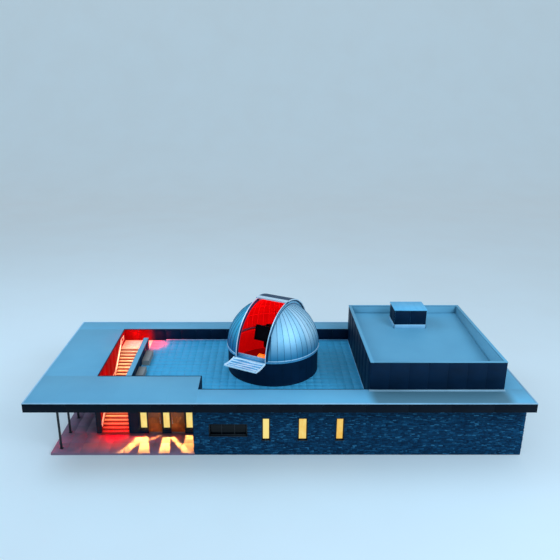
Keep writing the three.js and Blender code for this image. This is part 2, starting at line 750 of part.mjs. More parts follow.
// A curved cover over the slit between two height angles: skin, side flanges outside the rails and
// a plate at each end that reaches in to the radius given.
function cover(from, to, plateLow) {
  const inner = COVER_OUTER - COVER_SKIN;
  const half = COVER_HALF;
  const profile = [
    [COVER_FLANGE_LOW, -half],
    [COVER_OUTER, -half],
    [COVER_OUTER, half],
    [COVER_FLANGE_LOW, half],
    [COVER_FLANGE_LOW, half - COVER_FLANGE],
    [inner, half - COVER_FLANGE],
    [inner, -half + COVER_FLANGE],
    [COVER_FLANGE_LOW, -half + COVER_FLANGE],
  ];
  const plateAngle = THREE.MathUtils.radToDeg(END_PLATE / COVER_OUTER);
  const inset = plateAngle / 8;
  const plateHalf = SLIT_HALF - 2 * GAP;
  const plate = (start) =>
    sweep(
      rectangle(plateLow, inner + COVER_SKIN / 4, -plateHalf, plateHalf),
      start,
      start + plateAngle,
      ARC_STEP,
      level,
    );
  return join(
    sweep(profile, from, to, ARC_STEP, level),
    plate(from + inset),
    plate(to - plateAngle - inset),
  );
}

// A runner inside the shutter that slides on an arch rail. Its flats just clear the rail's corners.
function runner(from, to, side) {
  const low = (RAIL_TOP + GAP) / Math.cos(THREE.MathUtils.degToRad(ARC_STEP / 2));
  const high = COVER_OUTER - COVER_SKIN / 2;
  const inside = side * SLIT_HALF;
  const outside = side * (SLIT_HALF + RAIL_THICK);
  const [h0, h1] = [Math.min(inside, outside), Math.max(inside, outside)];
  return sweep(rectangle(low, high, h0, h1), from, to, ARC_STEP, level);
}

// Telescope on its pier: a turning fork and a tilting square tube
function telescope() {
  const pierTop = FORK_DISC.z0 - GAP;
  const pier = new THREE.LatheGeometry(
    [
      [0, TERRACE_TOP],
      [PIER.foot, TERRACE_TOP],
      [PIER.foot, TERRACE_TOP + PIER.footHigh],
      [PIER.radius, TERRACE_TOP + PIER.footHigh],
      [PIER.radius, pierTop],
      [0, pierTop],
    ].map(([r, h]) => new THREE.Vector2(r, h)),
    TURNED_SEGMENTS,
  );
  add("telescope_pier", pier.rotateX(Math.PI / 2).translate(DOME_X, DOME_Y, 0), "steel");
  const mount = new THREE.Group();
  mount.position.set(DOME_X, DOME_Y, RING_Z + PIVOT_RISE);
  mount.rotation.z = SLIT_TURN;
  observatory.add(mount);
  add("telescope_fork", fork(), "black", mount);
  const tilt = new THREE.Group();
  tilt.rotation.y = -THREE.MathUtils.degToRad(TUBE_TILT);
  mount.add(tilt);
  add("telescope_tube", tube(), "black", tilt);
}

// The fork, seen from its level axis: a round plate with a tapered arm on each side of the tube.
function fork() {
  const { inner, thick, foot, head, above, sunk } = FORK;
  const [low, high] = [FORK_DISC.z0, FORK_DISC.z1].map((z) => z - RING_Z - PIVOT_RISE);
  const disc = new THREE.CylinderGeometry(FORK_DISC.radius, FORK_DISC.radius, high - low, TURNED_SEGMENTS);
  disc.rotateX(Math.PI / 2).translate(0, 0, (low + high) / 2);
  const outline = [
    [-foot, high - sunk],
    [foot, high - sunk],
    [head, above],
    [-head, above],
  ];
  const shape = new THREE.Shape(outline.map(([x, z]) => new THREE.Vector2(x, z)));
  const arm = (side) => {
    const plate = new THREE.ExtrudeGeometry(shape, { depth: thick, bevelEnabled: false });
    return plate.rotateX(Math.PI / 2).translate(0, side > 0 ? inner + thick : -inner, 0);
  };
  return join(disc, arm(1), arm(-1));
}

// The tube along +X: mirror box, eight truss rods, square front frame and two trunnions.
function tube() {
  const { back, front, wall } = MIRROR_BOX;
  const half = MIRROR_BOX.side / 2;
  const hollow = half - wall;
  const frontHalf = TUBE_SIDE / 2;
  const frontInner = frontHalf - FRAME_WALL;
  const frontX = TUBE_REACH - TUBE_FRONT_DEEP;
  const mirror = cut(
    box(back, front, -half, half, -half, half),
    box(back + MIRROR_BOX.floor, front + CUT_OVER, -hollow, hollow, -hollow, hollow),
  );
  const frame = cut(
    box(frontX, TUBE_REACH, -frontHalf, frontHalf, -frontHalf, frontHalf),
    box(frontX + FRAME_WALL, TUBE_REACH + CUT_OVER, -frontInner, frontInner, -frontInner, frontInner),
  );
  const [startX, endX] = [front - ROD_SEAT.back, frontX + ROD_SEAT.front];
  const low = half - ROD_SEAT.out;
  const high = frontHalf - ROD_SEAT.in;
  const rods = [];
  for (const a of [-1, 1])
    for (const b of [-1, 1]) {
      rods.push(bar([startX, a * low, b * low], [endX, a * high, 0], ROD_RADIUS));
      rods.push(bar([startX, a * low, b * low], [endX, 0, b * high], ROD_RADIUS));
    }
  const trunnion = (side) =>
    bar(
      [0, side * (half - TRUNNION.sunk), 0],
      [0, side * (FORK.inner - GAP), 0],
      TRUNNION.radius,
      TRUNNION.sides,
    );
  return join(mirror, frame, ...rods, trunnion(1), trunnion(-1));
}

floors();
outerWalls();
entrance();
stair();
terrace();
roof();
hall();
drum();
dome();
telescope();

export default observatory;
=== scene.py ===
"""Looks of an observatory building with a turning dome.

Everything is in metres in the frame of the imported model: +X runs along the front to the right,
+Y runs to the back and +Z is up. Each sub-assembly is a class with its sizes as fields, and each
finish is a small frozen dataclass.
"""

import json
import logging
import math
from collections.abc import Callable, Sequence
from dataclasses import dataclass, field
from enum import Enum

import bpy
import numpy as np
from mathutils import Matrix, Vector

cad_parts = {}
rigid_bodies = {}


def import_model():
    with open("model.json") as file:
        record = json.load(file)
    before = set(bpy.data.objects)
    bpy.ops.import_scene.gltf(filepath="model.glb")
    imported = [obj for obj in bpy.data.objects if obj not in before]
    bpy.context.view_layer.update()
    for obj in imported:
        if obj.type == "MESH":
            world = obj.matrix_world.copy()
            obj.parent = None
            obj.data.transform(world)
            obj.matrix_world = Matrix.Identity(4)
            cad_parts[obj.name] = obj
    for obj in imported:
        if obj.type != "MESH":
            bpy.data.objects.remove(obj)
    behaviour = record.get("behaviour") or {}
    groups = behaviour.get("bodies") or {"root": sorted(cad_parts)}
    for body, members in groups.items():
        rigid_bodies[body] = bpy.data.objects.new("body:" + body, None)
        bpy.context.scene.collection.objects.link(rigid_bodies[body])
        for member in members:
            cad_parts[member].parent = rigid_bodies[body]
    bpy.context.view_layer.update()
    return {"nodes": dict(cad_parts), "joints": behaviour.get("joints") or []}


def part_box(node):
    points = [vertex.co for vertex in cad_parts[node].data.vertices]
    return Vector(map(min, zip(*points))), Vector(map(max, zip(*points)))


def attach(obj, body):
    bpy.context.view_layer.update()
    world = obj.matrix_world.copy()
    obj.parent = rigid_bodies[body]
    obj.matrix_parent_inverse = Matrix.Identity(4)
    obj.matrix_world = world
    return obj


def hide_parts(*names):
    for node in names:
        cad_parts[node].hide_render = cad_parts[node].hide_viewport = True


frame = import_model()

SEED = 20
STUDIO_FLOOR = "pale_studio_floor"
# How far the panels with painted red light run along the terrace's back wall
RED_REACH = 1.2
# How high the panels on the walls under the roof reach
PANEL_TOP = 4.965
FULL_TURN = 2 * math.pi
log = logging.getLogger("observatory")

# Left, right, bottom and top
Rect = tuple[float, float, float, float]
Spot = tuple[float, float, float]
Pair = tuple[float, float]
# Gives a height angle for a radius and azimuths
Edge = Callable[[float, np.ndarray], np.ndarray]
Tone = float | np.ndarray
Socket = bpy.types.NodeSocket


def linear(code: str) -> tuple[float, float, float, float]:
    """Turns an sRGB hex colour into a linear one.

    Args:
        code: Six hex digits after a #.

    Returns:
        Linear red, green and blue with an alpha of 1.
    """
    parts = [int(code[i : i + 2], 16) / 255 for i in (1, 3, 5)]
    bright = [c / 12.92 if c <= 0.04045 else ((c + 0.055) / 1.055) ** 2.4 for c in parts]
    return (*bright, 1.0)


def joint(name: str) -> dict:
    """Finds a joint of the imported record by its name."""
    return next(j for j in frame["joints"] if j["name"] == name)


def box(low: float, high: float, left: float, right: float) -> list[Pair]:
    """The four corners of a rectangular profile."""
    return [(low, left), (high, left), (high, right), (low, right)]


def split(start: float, end: float, count: int, gap: float) -> list[Pair]:
    """Splits a length into equal parts, each drawn in by a gap at both ends."""
    cuts = np.linspace(start, end, count + 1)
    return [(a + gap, b - gap) for a, b in zip(cuts[:-1], cuts[1:])]


def panel_row(
    start: float, end: float, low: float, high: float, wide: float, gap: float = 0.004
) -> list[Rect]:
    """Left, right, bottom and top of panels of about one width, with a gap at each end."""
    count = max(1, round((end - start) / wide))
    return [(a, b, low, high) for a, b in split(start, end, count, gap)]


class Side(Enum):
    """Which way a flat face looks: its two axes, the axis it looks along and the sign of that."""

    FRONT = (0, 2, 1, -1.0)
    BACK = (0, 2, 1, 1.0)
    EAST = (1, 2, 0, 1.0)
    WEST = (1, 2, 0, -1.0)
    TOP = (0, 1, 2, 1.0)
    UNDER = (0, 1, 2, -1.0)

    def points(self, u: np.ndarray, v: np.ndarray, w: np.ndarray, plane: float) -> np.ndarray:
        """Turns places on the face into points.

        Args:
            u: Places along the face's first axis.
            v: Places along its second axis.
            w: How far they stand in front of its plane.
            plane: Where its plane lies.

        Returns:
            An array that ends in x, y, z.
        """
        axis_u, axis_v, axis_w, sign = self.value
        u, v, w = np.broadcast_arrays(u, v, w)
        out = np.empty((*u.shape, 3))
        out[..., axis_u] = u
        out[..., axis_v] = v
        out[..., axis_w] = plane + sign * w
        return out


@dataclass
class Build:
    """Closed surfaces gathered into one mesh. Each point carries a tone for its finish."""

    points: list[np.ndarray] = field(default_factory=list)
    faces: list[np.ndarray] = field(default_factory=list)
    tones: list[np.ndarray] = field(default_factory=list)
    total: int = 0

    def add(
        self, points: np.ndarray, face_sets: Sequence[np.ndarray], tone: Tone = 0.5
    ) -> None:
        """Adds a closed surface, turned so that its faces look outwards.

        Args:
            points: The corners.
            face_sets: Corner numbers, one array for each count of corners.
            tone: One value, or one for each point.
        """
        flat = np.asarray(points, float).reshape(-1, 3)
        centred, volume = flat - flat.mean(axis=0), 0.0
        for faces in face_sets:
            # Each triangle of a face's fan spans a tetrahedron with the surface's middle
            first = centred[faces[:, 0]]
            for k in range(1, faces.shape[1] - 1):
                turn = np.cross(centred[faces[:, k]], centred[faces[:, k + 1]])
                volume += float((first * turn).sum()) / 6
        for faces in face_sets:
            self.faces.append((faces[:, ::-1] if volume < 0 else faces) + self.total)
        self.points.append(flat)
        self.tones.append(np.broadcast_to(np.asarray(tone, float), len(flat)).copy())
        self.total += len(flat)

    def shell(self, outer: np.ndarray, inner: np.ndarray, tone: Tone = 0.5) -> None:
        """Adds the wall between two grids, closed by a strip round their rim.

        Args:
            outer: The outer grid, as rows, columns, 3.
            inner: The inner one, of the same shape.
            tone: One value, or one for each point of a grid.
        """
        rows, columns = outer.shape[:2]
        count = rows * columns
        number = np.arange(count).reshape(rows, columns)
        start = number[:-1, :-1].ravel()
        sheet = np.stack([start, start + columns, start + columns + 1, start + 1], axis=1)
        rim = [number[:-1, 0], number[-1, :-1], number[:0:-1, -1], number[0, :0:-1]]
        rim = np.concatenate(rim)
        following = np.roll(rim, -1)
        edge = np.stack([following, rim, rim + count, following + count], axis=1)
        points = np.concatenate([outer.reshape(-1, 3), inner.reshape(-1, 3)])
        spread = np.concatenate([np.ravel(tone)] * 2) if np.size(tone) > 1 else tone
        self.add(points, [np.concatenate([sheet, sheet[:, ::-1] + count, edge])], spread)

    def carry(self, sections: np.ndarray, closed: bool = False, tone: float = 0.5) -> None:
        """Adds a profile carried along a path.

        Args:
            sections: The profile's points at each step, as steps, points, 3.
            closed: Whether it returns to its start. Otherwise both ends are capped.
            tone: The tone of the whole surface.
        """
        steps, corners = sections.shape[:2]
        i = np.arange(steps if closed else steps - 1)[:, None]
        k = np.arange(corners)
        here, after = i * corners, (i + 1) % steps * corners
        beside = (k + 1) % corners
        sides = np.stack([here + k, here + beside, after + beside, after + k], axis=-1)
        sets = [sides.reshape(-1, 4)]
        if not closed:
            sets.append(np.stack([k[::-1], k + (steps - 1) * corners]))
        self.add(sections, sets, tone)

    def slabs(
        self,
        side: Side,
        plane: float,
        rects: Sequence[Rect] | np.ndarray,
        low: float | np.ndarray,
        high: float | np.ndarray,
        chamfer: float,
        tone: Tone = 0.5,
        tilt: np.ndarray | None = None,
    ) -> None:
        """Adds upright blocks on a flat face, each with a chamfered outer edge.

        Every block has its outline three times: at its foot, where the chamfer starts, and at
        its top, drawn in by the chamfer.

        Args:
            side: Which way the face looks.
            plane: Where it lies.
            rects: Left, right, bottom and top of each block.
            low: How far the foot stands in front of the plane.
            high: How far the top does.
            chamfer: The width of the chamfer.
            tone: One tone, or one for each block.
            tilt: How far out each of the top's corners is moved.
        """
        rects = np.asarray(rects, float).reshape(-1, 4)
        count = len(rects)
        low = np.broadcast_to(low, count)[:, None]
        high = np.broadcast_to(high, count)[:, None]
        u, v = rects[:, [0, 1, 1, 0]], rects[:, [2, 2, 3, 3]]
        inset = np.array([chamfer, -chamfer, -chamfer, chamfer])
        rise = np.array([chamfer, chamfer, -chamfer, -chamfer])
        lift = np.zeros((count, 4)) if tilt is None else tilt
        levels = [
            side.points(u, v, low, plane),
            side.points(u, v, high - chamfer + lift, plane),
            side.points(u + inset, v + rise, high + lift, plane),
        ]
        k = np.arange(4)
        sides = np.stack([k, (k + 1) % 4, (k + 1) % 4 + 4, k + 4], axis=1)
        one = np.concatenate([[[3, 2, 1, 0]], sides, sides + 4, [[8, 9, 10, 11]]])
        faces = (np.arange(count)[:, None, None] * 12 + one).reshape(-1, 4)
        spread = np.repeat(np.broadcast_to(tone, count), 12) if np.size(tone) > 1 else tone
        self.add(np.concatenate(levels, axis=1), [faces], spread)

    def bar(
        self, start: Sequence[float], end: Sequence[float], radius: float, sides: int
    ) -> None:
        """Adds a round bar: a circle of a few sides carried along the line between two points.

        Args:
            start: The middle of one end.
            end: The middle of the other end.
            radius: The bar's radius.
            sides: How many sides stand for its round.
        """
        start, end = np.asarray(start, float), np.asarray(end, float)
        along = (end - start) / np.linalg.norm(end - start)
        helper = np.array([0.0, 0.0, 1.0] if abs(along[2]) < 0.9 else [1.0, 0.0, 0.0])
        right = np.cross(along, helper)
        right /= np.linalg.norm(right)
        turn = np.linspace(0, FULL_TURN, sides, endpoint=False)[:, None]
        circle = radius * (np.cos(turn) * right + np.sin(turn) * np.cross(right, along))
        self.carry(np.stack([start + circle, end + circle]))


@dataclass
class Graph:
    """The nodes of one material. Its methods add the groups of nodes that finishes share."""

    tree: bpy.types.NodeTree

    def add(
        self, kind: str, settings: dict | None = None, links: dict | None = None
    ) -> bpy.types.Node:
        """Adds one node with its settings and links.

        Args:
            kind: The node's type name after ShaderNode.
            settings: Values by property name, or by input name or number. "ramp" takes a
                colour ramp's positions and colours.
            links: Output sockets by input name or number.

        Returns:
            The new node.
        """
        node = self.tree.nodes.new(f"ShaderNode{kind}")
        for key, value in (settings or {}).items():
            if key == "ramp":
                stops = node.color_ramp.elements
                while len(stops) < len(value):
                    stops.new(0.5)
                for stop, (position, color) in zip(stops, value):
                    stop.position, stop.color = position, color
            elif isinstance(key, int) or key in node.inputs:
                node.inputs[key].default_value = value
            else:
                setattr(node, key, value)
        for key, socket in (links or {}).items():
            self.tree.links.new(socket, node.inputs[key])
        return node

    def spot(self) -> Socket:
        """Object coordinates in metres."""
        return self.add("TexCoord").outputs["Object"]

    def noise(self, size_mm: float | Spot, detail: float = 3.0) -> Socket:
        """Adds cloudy noise on object coordinates.

        Args:
            size_mm: The size of its blots in millimetres, one for all or along X, Y and Z.
            detail: The count of finer layers.

        Returns:
            The noise value's output.
        """
        scale = tuple(1000 / np.broadcast_to(size_mm, 3))
        mapped = self.add("Mapping", {"Scale": scale}, {"Vector": self.spot()})
        settings = {"Scale": 1.0, "Detail": detail, "Roughness": 0.55}
        blots = self.add("TexNoise", settings, {"Vector": mapped.outputs["Vector"]})
        return blots.outputs["Fac"]

    def tone(self) -> Socket:
        """The tone that each point of the mesh carries."""
        return self.add("Attribute", {"attribute_name": "tone"}).outputs["Fac"]

    def blend(self, share: float, first: Socket, second: Socket) -> Socket:
        """Mixes a share of the second value into the first."""
        settings = {"data_type": "FLOAT", "Factor": share}
        return self.add("Mix", settings, {"A": first, "B": second}).outputs["Result"]

    def shade(self, pick: Socket, *stops: tuple[float, str]) -> Socket:
        """Turns a value into a colour between stops, each a position and a hex colour."""
        ramp = [(position, linear(code)) for position, code in stops]
        return self.add("ValToRGB", {"ramp": ramp}, {"Fac": pick}).outputs["Color"]

    def spread(self, value: Socket, ends: Pair) -> Socket:
        """Spreads the middle of a noise value's range between two ends."""
        settings = {"From Min": 0.3, "From Max": 0.7, "To Min": ends[0], "To Max": ends[1]}
        return self.add("MapRange", settings, {"Value": value}).outputs["Result"]

    def fade(self, way: Socket, span: Pair) -> Socket:
        """Rises smoothly from 0 to 1 while a length runs through the span.

        Args:
            way: The length's socket.
            span: Where the rise starts and ends.

        Returns:
            The socket of the risen value.
        """
        settings = {
            "interpolation_type": "SMOOTHSTEP",
            "From Min": span[0],
            "From Max": span[1],
        }
        return self.add("MapRange", settings, {"Value": way}).outputs["Result"]

    def bump(self, height: Socket, strength: float, distance: float) -> Socket:
        """Bends the normal by a height, with the relief's strength and its depth in metres."""
        settings = {"Strength": strength, "Distance": distance}
        return self.add("Bump", settings, {"Height": height}).outputs["Normal"]

    def surface(self, settings: dict, links: dict) -> Socket:
        """Adds the surface shader."""
        return self.add("BsdfPrincipled", settings, links).outputs["BSDF"]


@dataclass(frozen=True)
class Finish:
    """A surface finish. name is the material's; slot, the record's material slot, is not used."""

    name: str
    slot: str

    def material(self) -> bpy.types.Material:
        """Makes the finish's material the first time it is asked for.

        Returns:
            The material.
        """
        known = bpy.data.materials.get(self.name)
        if known:
            return known
        material = bpy.data.materials.new(self.name)
        material.use_nodes = True
        graph = Graph(material.node_tree)
        graph.tree.nodes.clear()
        graph.add("OutputMaterial", links={"Surface": self.wire(graph)})
        return material

    def wire(self, graph: Graph) -> Socket:
        """Adds the finish's nodes and returns the shader's output."""
        raise NotImplementedError


@dataclass(frozen=True)
class Mottled(Finish):
    """A matt or satin finish in two near colours, blotted by noise, with a fine relief.

    Covers roofing membrane, coated sheet, cast concrete, paint and powder coat by their values.
    """

    light: str
    dark: str
    blot_mm: float | Spot
    grain_mm: float
    relief: float
    rough: Pair
    metallic: float = 0.0
    tone_share: float = 0.0
    glow: str = "#000000"
    glow_strength: float = 0.0
    specular: float = 0.5

    def wire(self, graph: Graph) -> Socket:
        """Blots pick colour and roughness, each block's tone shifts them, grain bumps them.

        Args:
            graph: The material's node tree.

        Returns:
            The shader's output.
        """
        blots = graph.noise(self.blot_mm)
        pick = graph.blend(self.tone_share, blots, graph.tone()) if self.tone_share else blots
        grain = graph.noise(self.grain_mm, 4.0)
        settings = {
            "Metallic": self.metallic,
            "Specular IOR Level": self.specular,
            "Emission Color": linear(self.glow),
            "Emission Strength": self.glow_strength,
        }
        links = {
            "Base Color": graph.shade(pick, (0.25, self.dark), (0.75, self.light)),
            "Roughness": graph.spread(blots, self.rough),
            "Normal": graph.bump(grain, self.relief, self.grain_mm / 4000),
        }
        return graph.surface(settings, links)


@dataclass(frozen=True)
class Fading(Mottled):
    """A mottled finish whose colour and glow fade to another colour along one axis.

    axis names the axis, span gives where the fade starts and ends on it in metres, and end the
    colour that it reaches. With a centre, the fade follows the distance to that point instead.
    """

    axis: str = "X"
    centre: Spot | None = None
    span: Pair = (0.0, 1.0)
    end: str = "#000000"

    def wire(self, graph: Graph) -> Socket:
        """The share of the fade behind a point mixes the colour and lowers the glow.

        Args:
            graph: The material's node tree.

        Returns:
            The shader's output.
        """
        output = super().wire(graph)
        inputs = output.node.inputs
        if self.centre:
            settings = {"operation": "DISTANCE", 1: self.centre}
            way = graph.add("VectorMath", settings, {0: graph.spot()}).outputs["Value"]
        else:
            way = graph.add("SeparateXYZ", links={0: graph.spot()}).outputs[self.axis]
        share = graph.fade(way, self.span)
        settings = {"To Min": self.glow_strength, "To Max": 0.0}
        left = graph.add("MapRange", settings, {"Value": share})
        plain = inputs["Base Color"].links[0].from_socket
        settings = {"data_type": "RGBA", 7: linear(self.end)}
        mixed = graph.add("Mix", settings, {0: share, 6: plain})
        graph.tree.links.new(left.outputs["Result"], inputs["Emission Strength"])
        graph.tree.links.new(mixed.outputs[2], inputs["Base Color"])
        return output


@dataclass(frozen=True)
class SplitSlate(Finish):
    """Slate ledgestone, split by hand: each stone has its own blue-grey, with a rough face."""

    shades: tuple[str, ...] = ("#06263e", "#0a3550", "#104868", "#3f84a6")
    places: tuple[float, ...] = (0.2, 0.42, 0.66, 0.9)
    face_mm: Spot = (90, 90, 40)
    grit_mm: Spot = (72, 72, 18)

    def wire(self, graph: Graph) -> Socket:
        """The stone's tone with a share of layered noise picks a shade, and grit bumps it.

        Args:
            graph: The material's node tree.

        Returns:
            The shader's output.
        """
        pick = graph.blend(0.42, graph.tone(), graph.noise(self.face_mm, 5.0))
        links = {
            "Base Color": graph.shade(pick, *zip(self.places, self.shades)),
            "Normal": graph.bump(graph.noise(self.grit_mm, 5.0), 0.6, 0.012),
        }
        return graph.surface({"Roughness": 0.78, "Specular IOR Level": 0.12}, links)


@dataclass(frozen=True)
class MillSheet(Finish):
    """Aluminium sheet with a soft sheen, slightly wavy, with faint rolling streaks.

    With a foot colour, the sheet turns to it downwards between the two heights of foot_z: a painted
    reflection of the dark terrace round its base.
    """

    light: str
    dark: str
    rough: Pair
    metallic: float
    foot: str = ""
    foot_z: Pair = (0.0, 1.0)
    wave_mm: float = 420.0
    streak_mm: Spot = (60, 60, 900)

    def wire(self, graph: Graph) -> Socket:
        """Each panel's tone and the streaks set colour and roughness, and long waves bend it.

        Args:
            graph: The material's node tree.

        Returns:
            The shader's output.
        """
        pick = graph.blend(0.5, graph.tone(), graph.noise(self.streak_mm, 2.0))
        base = graph.shade(pick, (0.2, self.dark), (0.8, self.light))
        # Painted reflection: the colour turns to the foot colour towards the bottom
        if self.foot:
            level = graph.add("SeparateXYZ", links={0: graph.spot()}).outputs["Z"]
            settings = {"data_type": "RGBA", 6: linear(self.foot)}
            links = {0: graph.fade(level, self.foot_z), 7: base}
            base = graph.add("Mix", settings, links).outputs[2]
        links = {
            "Base Color": base,
            "Roughness": graph.spread(pick, self.rough),
            "Normal": graph.bump(graph.noise(self.wave_mm, 1.0), 0.25, 0.02),
        }
        return graph.surface({"Metallic": self.metallic}, links)


@dataclass(frozen=True)
class LitPane(Finish):
    """Window glass with a lit room behind it: a warm, uneven glow under a clear gloss."""

    pale: str = "#ffea8e"
    deep: str = "#f6b02c"
    mottle_mm: Spot = (240, 240, 520)
    strength: float = 0.9

    def wire(self, graph: Graph) -> Socket:
        """Soft noise and the pane's own tone make the light paler or more orange.

        Args:
            graph: The material's node tree.

        Returns:
            The shader's output.
        """
        pick = graph.blend(0.45, graph.tone(), graph.noise(self.mottle_mm, 2.0))
        settings = {
            "Base Color": linear("#3a2a10"),
            "Roughness": 0.12,
            "Specular IOR Level": 0.2,
            "Emission Strength": self.strength,
        }
        color = graph.shade(pick, (0.2, self.deep), (0.7, self.pale))
        return graph.surface(settings, {"Emission Color": color})


@dataclass(frozen=True)
class StainedTimber(Finish):
    """Brown stained oak boards: long upright grain under a satin varnish."""

    light: str = "#9c5a18"
    dark: str = "#6e3c0c"
    grain_mm: Spot = (22, 22, 900)

    def wire(self, graph: Graph) -> Socket:
        """Noise drawn out along the grain picks the colour and bumps the surface.

        Args:
            graph: The material's node tree.

        Returns:
            The shader's output.
        """
        grain = graph.noise(self.grain_mm, 5.0)
        links = {
            "Base Color": graph.shade(grain, (0.3, self.dark), (0.7, self.light)),
            "Normal": graph.bump(grain, 0.3, 0.003),
        }
        return graph.surface({"Roughness": 0.42, "Coat Weight": 0.25}, links)


MEMBRANE = Mottled(
    "single_ply_membrane", "roof_membrane", "#7fb6c8", "#70a7bc", (5200, 5200, 1800), 90, 0.1,
    (0.6, 0.78),
)
# Painted reflection: beside the hall the membrane turns darker and greyer, for the dark hall wall
# that it reflects
SHADED_MEMBRANE = Fading(
    "roof_membrane_in_wall_shade", "roof_membrane", "#82c0d4", "#73b0c8", (5200, 5200, 1800), 90,
    0.1, (0.6, 0.78), centre=(11.5, -6.5, 5.0), span=(5.4, 4.5), end="#5f7f88",
)
COATED_PANEL = Mottled(
    "coil_coated_panel", "navy_panel", "#03233c", "#021a2e", (1500, 1500, 900), 30, 0.05,
    (0.5, 0.64), specular=0.12,
)
# Painted shade: the fascia's navy is a darker copy of the wall panels' navy, for the shade on the
# fascia
SHADED_FASCIA_PANEL = Mottled(
    "dark_fascia_panel", "navy_panel", "#04121f", "#020a14", (1500, 1500, 900), 30, 0.05,
    (0.5, 0.64), specular=0.1,
)
# Painted red light: the stair's navy panels get a red colour and a red glow for the red lamps'
# light
RED_PANEL = Mottled(
    "red_lit_panel", "navy_panel", "#600306", "#480204", (1200, 1200, 800), 30, 0.05, (0.55, 0.7),
    specular=0.05, glow="#ff0000", glow_strength=0.13,
)
# Painted red light fading out along X: from red with a glow to the panels' navy
RED_LIGHT_FADE_PANEL = Fading(
    "red_to_dark_panel", "navy_panel", "#600306", "#480204", (1200, 1200, 800), 30, 0.05,
    (0.55, 0.7), specular=0.05, glow="#ff0000", glow_strength=0.2, span=(-11.9, -10.9),
    end="#021a2e",
)
SLATE = SplitSlate("split_slate_ledgestone", "ledgestone")
MORTAR = Mottled(
    "shadowed_mortar", "ledgestone", "#15222e", "#0c1620", 300, 12, 0.5, (0.85, 0.95)
)
BENCH_SLAT = Mottled(
    "weathered_bench_slat", "concrete", "#b8a498", "#94847a", (700, 90, 90), 10, 0.3, (0.65, 0.8),
    tone_share=0.3,
)
# Its purple-grey is partly painted red light, and near the stair's foot it turns red: a painted
# pool of red light from the stair
PORCH_SLAB_RED_SPILL = Fading(
    "pale_porch_slab", "concrete", "#9c7486", "#866272", 900, 14, 0.25, (0.55, 0.8),
    tone_share=0.3, centre=(-12.7, -3.7, 0.15), span=(1.9, 0.5), end="#b62448",
)
# Its purple tint is partly painted red light
CONCRETE = Mottled(
    "trowelled_concrete", "concrete", "#9a8c96", "#80737f", 900, 14, 0.25, (0.6, 0.85),
    tone_share=0.3,
)
# Painted shade and red light: the risers are a dark red with a faint red glow
RISER_STONE = Mottled(
    "shaded_riser_stone", "concrete", "#7a3428", "#5c2018", 500, 10, 0.2, (0.6, 0.8),
    glow="#ff1808", glow_strength=0.08,
)
# Painted warm and red light: the treads glow peach, turning red and losing the glow towards the
# stair's foot
LIT_TREAD_STONE = Fading(
    "pale_tread_stone", "concrete", "#fff0d8", "#f6d8b4", 500, 10, 0.2, (0.55, 0.75),
    glow="#ff9a50", glow_strength=0.5, axis="Z", span=(1.35, 0.25), end="#e8383a",
)
# Nosing strips whose dark brown-red also stands for the shadow line under each nosing: partly
# painted shadow
NOSING_AND_SHADOW = Mottled(
    "bronze_nosing_strip", "steel", "#8c4426", "#6e3018", 300, 8, 0.1, (0.45, 0.6), specular=0.3
)
# Near the stair's top the pavers turn pink: a painted pool of pink light from the stair
PAVER_PINK_SPILL = Fading(
    "pressed_concrete_paver", "pavers", "#54badc", "#46aed0", 2400, 12, 0.2, (0.6, 0.8),
    tone_share=0.25, centre=(-11.1, 4.8, 3.9), span=(1.7, 0.1), end="#ec8c9c",
)
# Painted reflection: the dome's sheet turns a darker blue towards its foot
DOME_SHEET = MillSheet(
    "mill_finish_dome_sheet", "dome_metal", "#c4e0ea", "#90c6da", (0.52, 0.64), 0.6,
    foot="#2a90b6", foot_z=(5.9, 7.8),
)
# Painted shade: a darker, bluer copy of the dome's sheet for the left cover, with the same painted
# reflection at its foot
DOME_SHEET_SHADED_LEFT = MillSheet(
    "deeper_blue_dome_sheet", "dome_metal", "#5cd0ee", "#2cacd8", (0.46, 0.58), 0.7,
    foot="#0c86b8", foot_z=(5.9, 8.2),
)
DOOR_SHEET = MillSheet(
    "buckled_door_sheet", "dome_metal", "#86cbea", "#58a6cc", (0.35, 0.45), 0.35
)
DOOR_RIB = MillSheet("bright_door_rib", "dome_metal", "#f8feff", "#e4f6fd", (0.4, 0.5), 0.15)
DOME_TRIM = MillSheet("bright_dome_trim", "dome_metal", "#eefaff", "#d6eef8", (0.32, 0.42), 0.5)
# A dark navy sheet, much darker than the dome's
SHUTTER_SHEET = MillSheet(
    "weathered_shutter_sheet", "dome_metal", "#2e4d66", "#233f56", (0.42, 0.54), 0.3
)
# Painted reflection: the rail's sheet turns dark towards its foot
RAIL_SHEET = MillSheet(
    "painted_rail_sheet", "dome_metal", "#a4d6ea", "#84c0da", (0.46, 0.58), 0.4,
    foot="#1a4262", foot_z=(7.2, 9.1),
)
RAIL_PAINT = Mottled(
    "dark_rail_paint", "dome_metal", "#0a3c5c", "#07304c", 600, 10, 0.1, (0.55, 0.7), specular=0.2
)
# Painted shade: the standing seams are dark for the shade along them
SEAM_SHADE = Mottled(
    "dark_seam_sealant", "dome_metal", "#2e5d7c", "#244e6a", 300, 8, 0.1, (0.55, 0.7),
    specular=0.2,
)
# Painted red light: the lining is red with a red glow for the red lamps, and the ribs are brighter,
# a painted highlight
RED_LINING = Mottled(
    "red_lit_lining", "dome_metal", "#a80d12", "#86060c", 900, 30, 0.1, (0.55, 0.7),
    specular=0.2, glow="#ff0408", glow_strength=0.3,
)
RED_RIB = Mottled(
    "red_lit_rib", "dome_metal", "#d8282c", "#b81a20", 500, 20, 0.1, (0.5, 0.65),
    specular=0.2, glow="#ff1018", glow_strength=0.4,
)
